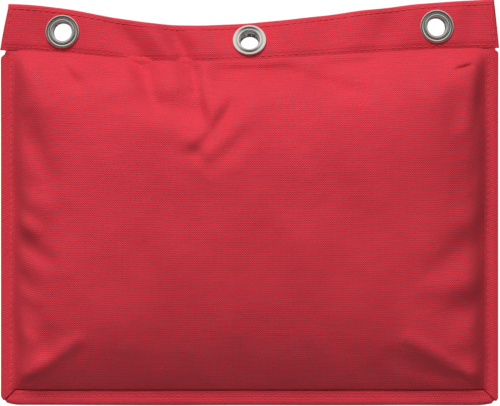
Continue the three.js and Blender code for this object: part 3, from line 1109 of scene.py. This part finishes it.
@dataclass
class HeaderBand:
    """One strip of cloth folded over the panels' upper edges, stitched all round.

    Attributes:
        drape: The pouch's hang.
        finishes: The materials.
        eyelets: (x, z) of each eyelet's centre.
        columns: Stations across the width.
        leg_rows: Rows of points up each leg of the hairpin.
        fold_rows: Rows round its fold.
        cloth: Thickness of the cloth.
        stitch_in: Distance from the top and end edges to their stitches.
        seam_up: Distance from the lower edge up to its stitches.
        press: How far the lower edge of the front leg lies back.
        corner_in: How far the left top corner is drawn in.
        hole: Radius that is left out of the cloth round each eyelet's barrel.
    """

    drape: Drape
    finishes: Finishes
    eyelets: Sequence[tuple[float, float]]
    columns: int = 230
    leg_rows: int = 30
    fold_rows: int = 9
    cloth: float = 0.7 * MM
    stitch_in: float = 2.7 * MM
    seam_up: float = 2.1 * MM
    press: float = 0.85 * MM
    corner_in: float = 2.2 * MM
    hole: float = 8.2 * MM

    def face(self, side: float) -> Surface:
        """Depth of the band's front face, side -1, or of its back face, side 1.

        Args:
            side: -1 for the front, 1 for the back.

        Returns:
            The face's depth as a function of the place.
        """

        def depth(x: Array, z: Array) -> Array:
            """The middle surface, the folds and half the band's thickness."""
            back = self.pressed(x, z) if side < 0 else 0.0
            return self.drape.header_mid(x, z) - self.folds(x, z) + side * self.half(x) + back

        return depth

    def half(self, x: Array) -> Array:
        """Half the band's thickness, which closes up at its stitched ends."""
        inside = ease((self.drape.half_width - np.abs(x)) / (5 * MM))
        return mix(1.15 * MM, self.drape.header_outer, inside)

    def pressed(self, x: Array, z: Array) -> Array:
        """How far the front leg's lower edge lies back against the panel under its seam."""
        up = z - self.drape.seam_z(x)
        inside = ease((self.drape.half_width - np.abs(x)) / (6 * MM))
        return self.press * (1 - ease((up - 0.6 * MM) / (5 * MM))) * inside

    def folds(self, x: Array, z: Array) -> Array:
        """How far forward the folds are, which lie flat under each eyelet.

        Args:
            x: Places along the width.
            z: Places along the height.

        Returns:
            The distances.
        """
        held = np.ones(np.broadcast(x, z).shape)
        for ex, ez in self.eyelets:
            held = held * (1 - bump(np.hypot(x - ex, z - ez), 13 * MM))
        return self.drape.band_folds(x, z) * held

    def dents(self, x: Array, z: Array) -> Array:
        """How far the four lines of stitching pull the band in.

        Args:
            x: Places along the width.
            z: Places along the height.

        Returns:
            The distances.
        """
        d = self.drape
        low = 1.3 * stitch_dent(z - d.seam_z(x) - self.seam_up, x, STITCH_PITCH)
        high = stitch_dent(z - d.top_z(x) + self.stitch_in, x, STITCH_PITCH)
        share = (z - d.seam_z(x)) / (d.top_z(x) - d.seam_z(x))
        edge = np.where(x < 0, -self.across(np.array(-1.0), share), d.header_half(share))
        ends = stitch_dent(edge - np.abs(x) - self.stitch_in, z, STITCH_PITCH)
        return np.maximum(np.maximum(low, high), ends)

    def build(self) -> None:
        """Builds the strip as a hairpin: up the front leg, round the fold and down the back leg."""
        d = self.drape
        up = np.linspace(0, 1, self.leg_rows)
        turn = np.linspace(0, math.pi, self.fold_rows + 2)[1:-1]
        share = np.concatenate([up, np.ones(self.fold_rows), up[::-1]])[:, None]
        swing = np.concatenate([np.zeros(self.leg_rows), turn, np.full(self.leg_rows, math.pi)])[:, None]
        station = crowded_ends(self.columns)[None, :]
        x = self.across(station, share)
        offset = self.half(x) - self.cloth / 2
        tall = d.top_z(x) - d.seam_z(x) - offset
        ragged = 0.25 * MM * soft_noise(x, x * 0, 30 * MM, 1.0)
        z = d.seam_z(x) + share * (tall + ragged) + offset * np.sin(swing)
        dent = self.dents(x, z)
        front = 0.5 + 0.5 * np.cos(swing)
        y = d.header_mid(x, z) - self.folds(x, z) - (offset - dent) * np.cos(swing)
        y = y + front * self.pressed(x, z)
        points = np.stack([x, y, z], axis=-1)
        keep = self._uncut(points)
        piece = sheet_piece("header_band_cloth", points, self.cloth, keep)
        dress(piece, self.finishes.pouch, "pouch", "pouch_fabric", "header_band")
        self._sew()

    def across(self, station: Array, share: Array) -> Array:
        """Place across the width: the left end is drawn in towards its top corner."""
        return station * self.drape.header_half(share) + self.corner_in * share * clip01(-station) ** 8

    def _uncut(self, points: Array) -> NDArray[np.bool_]:
        """Which quads lie outside the eyelets' holes.

        Args:
            points: The sheet's grid of points.

        Returns:
            True for each quad that stays.
        """
        middle = (points[:-1, :-1] + points[1:, 1:]) / 2
        keep = np.ones(middle.shape[:2], bool)
        for ex, ez in self.eyelets:
            keep &= np.hypot(middle[..., 0] - ex, middle[..., 2] - ez) > self.hole
        return keep

    def _sew(self) -> None:
        """Builds the four seams, each with its needle thread and its bobbin thread."""
        d = self.drape
        reach = 1 - self.stitch_in / d.header_half(1.0)

        def along(height: Callable[[Array], Array], share: float) -> Callable[[Array], tuple[Array, Array]]:
            """A path from end to end of the band at a height.

            Args:
                height: Height of the path at a place along the width.
                share: Its share of the band's height.

            Returns:
                The path.
            """

            def path(t: Array) -> tuple[Array, Array]:
                """Follows the band's edge."""
                x = self.across((2 * t - 1) * reach, np.full(t.shape, share))
                return x, height(x)

            return path

        def end_path(sign: float) -> Callable[[Array], tuple[Array, Array]]:
            """A path up one end of the band.

            Args:
                sign: -1 for the left end, 1 for the right end.

            Returns:
                The path.
            """

            def path(t: Array) -> tuple[Array, Array]:
                """Follows the slanted end, a stitch's distance in from it.

                Args:
                    t: Shares of the way along the path, from 0 to 1.

                Returns:
                    The places along the width and along the height.
                """
                share = mix(0.1, 0.88, t)
                x = self.across(np.full(t.shape, sign), share) - sign * self.stitch_in
                return x, mix(d.seam_z(x), d.top_z(x), share)

            return path

        seams = {
            "header_top": along(lambda x: d.top_z(x) - self.stitch_in, 0.9),
            "header_seam": along(lambda x: d.seam_z(x) + self.seam_up, 0.1),
            "header_left": end_path(-1.0),
            "header_right": end_path(1.0),
        }
        for name, path in seams.items():
            sew_both(Seam(name, path), self.face(-1.0), self.face(1.0), self.finishes.thread)


def crowded_ends(count: int) -> Array:
    """Stations from -1 to 1, even over most of the width and closer near both ends."""
    t = np.linspace(-1, 1, count)
    return t + 0.12 * np.sin(math.pi * t) / math.pi


def sew_both(seam: Seam, front: Surface, back: Surface, thread: Any) -> None:
    """Builds both threads of a seam and dresses them.

    Args:
        seam: The seam.
        front: Depth of the cloth's front face.
        back: Depth of its back face.
        thread: The thread's material.
    """
    for side, face, kind in ((-1.0, front, "needle_thread"), (1.0, back, "bobbin_thread")):
        piece = seam.stitches(f"{kind}_stitches", face, side)
        dress(piece, thread, "pouch", "thread", f"{seam.name}_{kind}")


# ---------------------------------------------------------------- pocket


@dataclass
class Pocket:
    """The pocket's front and back panels with their flat flanges and side seams."""

    drape: Drape
    finishes: Finishes
    columns: int = 250
    rows: int = 172
    cloth: float = 0.95 * MM
    stitch_in: float = 6.8 * MM
    crease: float = 0.5 * MM

    def front(self, x: Array, z: Array) -> Array:
        """Depth of the front panel's middle surface, with folds, creases and stitched grooves.

        Args:
            x: Places along the width.
            z: Places along the height.

        Returns:
            The depths.
        """
        d = self.drape
        edge = d.half_width - np.abs(x)
        groove = stitch_dent(edge - self.stitch_in, z, STITCH_PITCH) * ease((z - d.lip_z) / (4 * MM))
        roll = 0.5 * MM * bump(edge, 1.0 * MM)
        crease = self.crease * bump(np.abs(x) - d.pocket_half, 1.2 * MM)
        puff = 0.35 * MM * bump(edge - 3.4 * MM, 2.2 * MM)
        wave = 0.15 * MM * soft_noise(x * 0.2, z, 60 * MM, 3.0)
        lift = 0.35 * MM * bump(z - d.seam_z(x), 2.5 * MM) * ease((d.pocket_half - np.abs(x)) / (6 * MM))
        return d.front_soft(x, z) - d.panel_folds(x, z) + groove + roll + crease - puff - wave - lift

    def back(self, x: Array, z: Array) -> Array:
        """Depth of the back panel's middle surface, with its grooves and slight waves.

        Args:
            x: Places along the width.
            z: Places along the height.

        Returns:
            The depths.
        """
        d = self.drape
        edge = d.half_width - np.abs(x)
        groove = stitch_dent(edge - self.stitch_in, z, STITCH_PITCH)
        waves = 0.35 * MM * (1 + soft_noise(x, z, 90 * MM, 4.0)) * ease(edge / (20 * MM))
        return d.back_mid(x, z) - groove - waves

    def build(self) -> None:
        """Builds both panels and sews their sides."""
        self._build_front()
        self._build_back()
        d = self.drape
        for name, sign in (("left_seam", -1.0), ("right_seam", 1.0)):
            x_at = sign * (d.half_width - self.stitch_in)

            def path(t: Array, x_at: float = x_at) -> tuple[Array, Array]:
                """Runs up one flange."""
                x = np.full(t.shape, x_at)
                return x, mix(d.lip_z + 1.0 * MM, d.seam_z(x) - 2.5 * MM, t)

            half = self.cloth / 2
            sew_both(
                Seam(name, path),
                lambda x, z: self.front(x, z) - half,
                lambda x, z: self.back(x, z) + half,
                self.finishes.thread,
            )

    def _x_stations(self) -> Array:
        """Stations across the panel: close together over each flange and its crease.

        Returns:
            The places along the width.
        """
        d = self.drape
        flange = np.linspace(d.half_width, d.pocket_half, 16)[:-1]
        inside = d.pocket_half * crowded_ends(self.columns)
        return np.concatenate([-flange, inside, flange[::-1]])

    def _notched(self, x: Array, z: Array) -> Array:
        """Draws the flanges' edges in just under the band, where the panels' seam allowance is cut.

        Args:
            x: Places along the width.
            z: Places along the height.

        Returns:
            The places along the width, drawn in.
        """
        d = self.drape
        deep = np.where(x < 0, 4.0 * MM, 2.2 * MM)
        tall = np.where(x < 0, 2.1 * MM, 1.3 * MM)
        under = d.seam_z(np.sign(x) * d.half_width) - z - tall * 0.8
        outward = clip01((np.abs(x) - d.pocket_half) / d.flange)
        return x - np.sign(x) * outward * deep * np.exp(-((under / tall) ** 2))

    def _build_front(self) -> None:
        """Builds the front panel, whose flanges end in mitres beside the closure lip."""
        d = self.drape
        x = self._x_stations()[None, :]
        mitre = np.maximum(0.0, np.abs(x) - d.pocket_half) * d.lip_height / d.flange
        low = d.lip_z + 0.9 * MM - mitre * 0.92
        share = ((crowded(self.rows) + 1) / 2)[:, None]
        z = mix(low, d.seam_z(x) + 2.0 * MM, share)
        x = self._notched(np.broadcast_to(x, z.shape), z)
        y = self.front(x, z)
        points = np.stack([*d.rounded(x, z), y], axis=-1)[..., [0, 2, 1]]
        piece = sheet_piece("front_panel_cloth", points, self.cloth)
        dress(piece, self.finishes.pouch, "pouch", "pouch_fabric", "front_panel")
        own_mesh(piece)

    def _build_back(self) -> None:
        """Builds the back panel, whose lower edge is the back lip of the closure."""
        d = self.drape
        x = self._x_stations()[None, ::2]
        share = np.linspace(0, 1, 90)[:, None]
        z = mix(d.lower_z, d.seam_z(x) + 2.0 * MM, share)
        x = self._notched(np.broadcast_to(x, z.shape), z)
        y = self.back(x, z)
        points = np.stack([*d.rounded(x, z), y], axis=-1)[..., [0, 2, 1]]
        piece = sheet_piece("back_panel_cloth", points, self.cloth, flip=True)
        dress(piece, self.finishes.pouch, "pouch", "pouch_fabric", "back_panel")


# ---------------------------------------------------------------- closure


@dataclass
class Closure:
    """The lip along the lower edge, with hook tape on it and loop tape on the back panel."""

    drape: Drape
    finishes: Finishes
    cloth: float = 0.95 * MM
    stitch_up: float = 6.6 * MM

    def lip_depth(self, x: Array, z: Array) -> Array:
        """Depth of the lip's middle surface: flat, rolled at its edge, its ends sunk to the flanges.

        Args:
            x: Places along the width.
            z: Places along the height.

        Returns:
            The depths.
        """
        d = self.drape
        past = ease((np.abs(x) - d.pocket_half + 6 * MM) / (14 * MM))
        groove = stitch_dent(z - d.lower_z - self.stitch_up, x, STITCH_PITCH)
        roll = 0.9 * MM * bump(z - d.lower_z, 1.1 * MM)
        crease = 0.4 * MM * bump(z - d.lip_z, 1.0 * MM)
        puff = 0.4 * MM * bump(z - d.lower_z - 3.2 * MM, 2.2 * MM)
        wave = 0.25 * MM * soft_noise(x, z * 0, 52 * MM, 7.0)
        return -mix(d.lip_rest, d.flange_rest + 0.9 * MM, past) + groove + roll + crease - puff - wave

    def build(self) -> None:
        """Builds the lip, its stitches and both tapes."""
        d = self.drape
        share = ((crowded(26) + 1) / 2)[:, None]
        z_row = mix(d.lower_z, d.lip_z - 0.1 * MM, share)
        half = mix(d.pocket_half + d.flange * 0.9, d.pocket_half - 0.6 * MM, share)
        x = crowded_ends(230)[None, :] * half
        z = self._drooped(x, np.broadcast_to(z_row, x.shape), share)
        y = self.lip_depth(x, z)
        points = np.stack([*d.rounded(x, z), y], axis=-1)[..., [0, 2, 1]]
        lip = sheet_piece("front_lip_cloth", points, self.cloth)
        dress(lip, self.finishes.pouch, "front_lip", "pouch_fabric", "front_lip")
        self._tape("hook_tape", "front_lip", self.finishes.hooks)
        self._tape("loop_tape", "pouch", self.finishes.loops)
        self._sew()

    def _drooped(self, x: Array, z: Array, share: Array) -> Array:
        """Lets the lower edge wander up and down slightly."""
        wander = 0.35 * MM * (1 + soft_noise(x, x * 0, 120 * MM, 6.0))
        return z + (1 - share) * wander

    def _sew(self) -> None:
        """Builds the row of stitches that holds each tape."""
        d = self.drape
        reach = d.pocket_half - 3 * MM
        high = d.lower_z + self.stitch_up

        def path(t: Array) -> tuple[Array, Array]:
            """Runs along the lip."""
            return (2 * t - 1) * reach, np.full(t.shape, high)

        half = self.cloth / 2
        needle = Seam("front_lip", path).stitches(
            "needle_thread_stitches", lambda x, z: self.lip_depth(x, z) - half, -1.0
        )
        dress(needle, self.finishes.thread, "front_lip", "thread", "front_lip_needle_thread")
        bobbin = Seam("back_lip", path).stitches("bobbin_thread_stitches", lambda x, z: x * 0, 1.0)
        dress(bobbin, self.finishes.thread, "pouch", "thread", "back_lip_bobbin_thread")

    def _tape(self, node: str, body: str, finish: Any) -> None:
        """Builds a tape as a strip with woven edges and a raised field, in its CAD node's box.

        Args:
            node: The tape's CAD node.
            body: The body that it moves with.
            finish: Its material.
        """
        low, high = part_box(node)
        x = mix(low.x, high.x, np.linspace(0, 1, 160)[None, :])
        share = np.linspace(0, 1, 15)[:, None]
        z = mix(low.z + 0.2 * MM, high.z - 0.2 * MM, share) + x * 0
        x = x + share * 0
        field_rise = 0.35 * MM * ease(np.minimum(share, 1 - share) / 0.14)
        away = 1.0 if node == "hook_tape" else -1.0
        middle = (low.y + high.y) / 2
        y = middle + away * (field_rise - 0.3 * MM) + 0.08 * MM * soft_noise(x, z, 4 * MM, 8.0)
        piece = sheet_piece(f"{node}_strip", np.stack([x, y, z], axis=-1), 0.55 * MM)
        dress(piece, finish, body, "tape", node)


# ---------------------------------------------------------------- eyelets


@dataclass
class Eyelets:
    """Three pressed eyelets with their washers."""

    drape: Drape
    finishes: Finishes
    hole: float = 6.3 * MM
    wall: float = 0.6 * MM
    flange: float = 11.3 * MM
    washer: float = 10.4 * MM
    washer_thick: float = 0.8 * MM
    clearance: float = 0.5 * MM
    segments: int = 128

    def places(self) -> list[tuple[str, float, float]]:
        """Name and (x, z) of each eyelet's centre on the band's middle surface.

        Returns:
            The name, x and z of each eyelet.
        """
        found = []
        for side in ("left", "centre", "right"):
            low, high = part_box(f"eyelet_washer_{side}")
            x = np.array([(low.x + high.x) / 2])
            x = np.round(x, 3)
            z = mix(self.drape.seam_z(x), self.drape.top_z(x), self.drape.eyelet_share)
            found.append((side, float(x[0]), float(z[0])))
        return found

    def _seat(self, x: float, z: float) -> tuple[Matrix, float]:
        """Turns local Z along the band's normal at a place, and gives half the band's thickness there.

        Args:
            x: Where the eyelet's centre is along the width.
            z: Where it is along the height.

        Returns:
            The turn and shift onto the band, and half the band's thickness there.
        """
        d, step = self.drape, 4 * MM
        xs, zs = np.array([x - step, x + step, x, x]), np.array([z, z, z - step, z + step])
        y = d.header_mid(xs, zs)
        normal = Vector(((y[1] - y[0]) / (2 * step), -1.0, (y[3] - y[2]) / (2 * step))).normalized()
        turn = Vector((0, 0, 1)).rotation_difference(normal).to_matrix().to_4x4()
        middle = float(d.header_mid(np.array([x]), np.array([z]))[0])
        return Matrix.Translation((x, middle, z)) @ turn, d.header_outer * abs(normal.y)

    @staticmethod
    def _arc(centre: tuple[float, float], radius: float, start: float, end: float, count: int = 9) -> Array:
        """Points on an arc of a profile, with angles in degrees."""
        turn = np.radians(np.linspace(start, end, count))
        return np.stack([centre[0] + radius * np.cos(turn), centre[1] + radius * np.sin(turn)], axis=-1)

    def _barrel_profile(self, half: float) -> Array:
        """A domed flange, a second rounded ring at the mouth, the barrel and its rolled end.

        Args:
            half: Half the band's thickness along the eyelet's axis.

        Returns:
            Radius and height of each corner.
        """
        front = half + self.clearance
        back = -front - self.washer_thick - 0.35 * MM
        hole, outer = self.hole, self.hole + self.wall
        dome = 0.7 * MM
        ring = hole + 1.35 * MM
        return np.concatenate(
            [
                [[outer, back + 0.1 * MM], [outer, front - 0.05 * MM]],
                [[self.flange - 0.3 * MM, front]],
                self._arc((self.flange - dome, front + dome), dome, -80, 84),
                [[self.flange - 1.3 * MM, front + 1.38 * MM], [self.flange - 1.9 * MM, front + 1.22 * MM]],
                [[self.flange - 2.35 * MM, front + 0.9 * MM], [self.flange - 2.55 * MM, front + 0.62 * MM]],
                [[ring + 0.95 * MM, front + 0.66 * MM]],
                self._arc((ring, front + 0.8 * MM), 0.85 * MM, 20, 165, 13),
                [[hole + 0.2 * MM, front + 0.1 * MM], [hole, front - 0.7 * MM], [hole, back - 0.1 * MM]],
                self._arc((hole + 1.15 * MM, back - 0.05 * MM), 1.15 * MM, 180, 350, 13),
            ]
        )

    def _washer_profile(self, half: float) -> Array:
        """A flat ring with a rounded rim.

        Args:
            half: Half the band's thickness along the eyelet's axis.

        Returns:
            Radius and height of each corner.
        """
        top = -half - self.clearance
        bore = self.hole + self.wall + 0.35 * MM
        thick = self.washer_thick
        return np.concatenate(
            [
                [[bore, top], [bore, top - thick]],
                [[self.washer - 1.2 * MM, top - thick]],
                self._arc((self.washer - thick * 0.5, top - thick / 2), thick / 2, -90, 90, 7),
            ]
        )

    def build(self) -> None:
        """Builds the three eyelets and their washers in place of the faceted ones."""
        for side, x, z in self.places():
            place, half = self._seat(x, z)
            profile = self._barrel_profile(half)
            barrel = lathe_piece(f"eyelet_{side}_metal", profile, self.segments, place)
            dress(barrel, self.finishes.nickel, "pouch", "nickel", f"eyelet_{side}")
            profile = self._washer_profile(half)
            ring = lathe_piece(f"eyelet_washer_{side}_metal", profile, self.segments, place)
            dress(ring, self.finishes.nickel, "pouch", "nickel", f"eyelet_washer_{side}")


# ---------------------------------------------------------------- blanket


@dataclass
class Blanket:
    """Glass cloth folded in plies, with two pull tabs that lie folded up on its front."""

    drape: Drape
    finishes: Finishes
    plies: int = 32
    cloth: float = 0.45 * MM
    columns: int = 46
    ply_rows: int = 14
    corner: float = 0.16

    def build(self) -> None:
        """Builds the stack of plies as one sheet that turns back on itself at each fold."""
        low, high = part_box("blanket")
        middle_x, middle_z = (low.x + high.x) / 2, (low.z + high.z) / 2
        half_x, half_z = (high.x - low.x) / 2, (high.z - low.z) / 2
        ply, up = np.meshgrid(np.arange(self.plies), np.linspace(-1, 1, self.ply_rows), indexing="ij")
        up = np.where(ply % 2 == 0, up, -up).ravel()[:, None]
        layer = ply.ravel().astype(float)[:, None]
        across = crowded(self.columns)[None, :]
        squeeze = 0.93 - 0.02 * np.cos(layer * 7.0)
        x = middle_x + across * half_x * squeeze * (1 - self.corner * up**6)
        z = middle_z + up * half_z * 0.95 * (1 - self.corner * across**6) - 4 * MM * clip01(up)
        front, back = self._room(x, z)
        y = mix(front, back, (layer + 0.5) / self.plies)
        points = np.stack([x, y, z], axis=-1)
        piece = sheet_piece("blanket_plies", points, self.cloth)
        dress(piece, self.finishes.glass, "blanket", "glass_cloth", "blanket")
        self._tabs()

    def _room(self, x: Array, z: Array) -> tuple[Array, Array]:
        """Depths of the stack's front and back, inside the pocket.

        Args:
            x: Places along the width.
            z: Places along the height.

        Returns:
            The depths of the stack's front and of its back.
        """
        d = self.drape
        front = d.front_soft(x, z) + 6.0 * MM
        loop_front = -(d.sheet + d.gap + d.tape_thick)
        back = np.minimum(d.back_mid(x, z) - d.sheet / 2, loop_front) - 0.6 * MM
        thick = np.maximum(back - front, 3 * MM)
        return back - thick, back

    def _tabs(self) -> None:
        """Builds each pull tab as a strip of webbing that lies on the front of the stack."""
        d = self.drape
        for side in ("left", "right"):
            low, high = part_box(f"pull_tab_{side}")
            x = mix(low.x, high.x, np.linspace(0, 1, 24)[None, :])
            z = mix(low.z, high.z, np.linspace(0, 1, 60)[:, None])
            x, z = np.broadcast_arrays(x, z)
            y = d.front_soft(x, z) + 4.6 * MM
            points = np.stack([x, y, z], axis=-1)
            tab = sheet_piece(f"pull_tab_{side}_webbing", points, 1.0 * MM)
            dress(tab, self.finishes.webbing, f"pull_tab_{side}", "webbing", f"pull_tab_{side}")


# ---------------------------------------------------------------- studio


@dataclass
class Studio:
    """Camera, soft lights and floor."""

    drape: Drape
    distance: float = 1.6
    field_width: float = 0.338
    sensor: float = 36.0
    middle_x: float = 0.3 * MM
    middle_z: float = -107.9 * MM

    def build(self) -> None:
        """Sets up the camera first, then the lights and the floor."""
        self._camera()
        self._lights()
        self._world()
        self._floor()

    def _camera(self) -> None:
        """A long lens, level and square to the pouch."""
        data = bpy.data.cameras.new("camera")
        data.sensor_width = self.sensor
        data.lens = self.sensor * self.distance / self.field_width
        camera = bpy.data.objects.new("camera", data)
        camera.location = (self.middle_x, -self.distance, self.middle_z)
        camera.rotation_euler = (math.pi / 2, 0, 0)
        bpy.context.scene.collection.objects.link(camera)
        bpy.context.scene.camera = camera

    @staticmethod
    def _area(name: str, place: tuple[float, float, float], size: float, power: float) -> None:
        """Adds a square soft light that faces the pouch's middle, and that metal doesn't mirror.

        Args:
            name: The light's name.
            place: Where it stands.
            size: Length of its sides.
            power: Its power in watts.
        """
        data = bpy.data.lights.new(name, "AREA")
        data.energy = power
        data.size = size
        light = bpy.data.objects.new(name, data)
        light.location = place
        light.visible_glossy = False
        towards = Vector((0, 0, -0.1)) - Vector(place)
        light.rotation_euler = towards.to_track_quat("-Z", "Y").to_euler()
        bpy.context.scene.collection.objects.link(light)

    def _lights(self) -> None:
        """A large key above and in front, a weaker fill, and one behind for the other views."""
        self._area("key", (-0.5, -1.9, 2.0), 1.5, 80.0)
        self._area("fill", (0.2, -1.7, 0.1), 0.9, 5.0)
        self._area("back", (0.5, 1.3, 0.7), 1.0, 12.0)

    def _world(self) -> None:
        """A white surround that lights the pouch weakly, and more from above than from below.

        Mirrored rays see bright walls at the sides, and dark ones in front and behind, which draws
        the metal.
        """
        world = bpy.data.worlds.new("studio")
        bpy.context.scene.world = world
        world.use_nodes = True
        tree = world.node_tree
        ground = tree.nodes["Background"]
        ground.inputs[0].default_value = (1, 1, 1, 1)
        seen = tree.nodes.new("ShaderNodeLightPath")
        towards = tree.nodes.new("ShaderNodeTexCoord")
        height = tree.nodes.new("ShaderNodeSeparateXYZ")
        tree.links.new(towards.outputs["Generated"], height.inputs[0])
        sky = tree.nodes.new("ShaderNodeMapRange")
        for name, value in (("From Min", -0.5), ("From Max", 0.6), ("To Min", 0.03), ("To Max", 0.17)):
            sky.inputs[name].default_value = value
        tree.links.new(height.outputs["Z"], sky.inputs["Value"])
        depth = tree.nodes.new("ShaderNodeMath")
        depth.operation = "ABSOLUTE"
        tree.links.new(height.outputs["Y"], depth.inputs[0])
        walls = tree.nodes.new("ShaderNodeMapRange")
        for name, value in (("From Min", 0.72), ("From Max", 0.95), ("To Min", 5.0), ("To Max", 0.0)):
            walls.inputs[name].default_value = value
        tree.links.new(depth.outputs[0], walls.inputs["Value"])
        mirrored = tree.nodes.new("ShaderNodeMath")
        mirrored.operation = "MULTIPLY_ADD"
        tree.links.new(seen.outputs["Is Glossy Ray"], mirrored.inputs[0])
        tree.links.new(walls.outputs["Result"], mirrored.inputs[1])
        mirrored.inputs[2].default_value = 1.0
        lit = tree.nodes.new("ShaderNodeMath")
        lit.operation = "MULTIPLY"
        tree.links.new(mirrored.outputs[0], lit.inputs[0])
        tree.links.new(sky.outputs["Result"], lit.inputs[1])
        strength = tree.nodes.new("ShaderNodeMath")
        strength.operation = "MAXIMUM"
        tree.links.new(seen.outputs["Is Camera Ray"], strength.inputs[0])
        tree.links.new(lit.outputs[0], strength.inputs[1])
        tree.links.new(strength.outputs[0], ground.inputs["Strength"])
        bpy.context.scene.view_settings.view_transform = "Standard"

    def _floor(self) -> None:
        """A pale floor well below the pouch."""
        corners = np.array([[-1, -1], [1, -1], [1, 1], [-1, 1]], float) * 0.6
        points = np.column_stack([corners, np.full(4, -0.62)])
        floor = mesh_piece("floor", points, np.array([[0, 1, 2, 3]]))
        nodes = Nodes("pale_floor")
        nodes.set(Base_Color=(0.36, 0.36, 0.36, 1), Roughness=0.8)
        floor.data.materials.append(nodes.material)


def main() -> None:
    """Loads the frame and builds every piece."""
    logging.basicConfig(level=logging.INFO, format="%(message)s")
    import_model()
    low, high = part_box("back_panel")
    drape = Drape(half_width=high.x, lower_z=low.z)
    finishes = Finishes.make()
    Studio(drape).build()
    eyelets = Eyelets(drape, finishes)
    HeaderBand(drape, finishes, [(x, z) for _, x, z in eyelets.places()]).build()
    eyelets.build()
    Pocket(drape, finishes).build()
    Closure(drape, finishes).build()
    Blanket(drape, finishes).build()


if __name__ == "__main__":
    main()
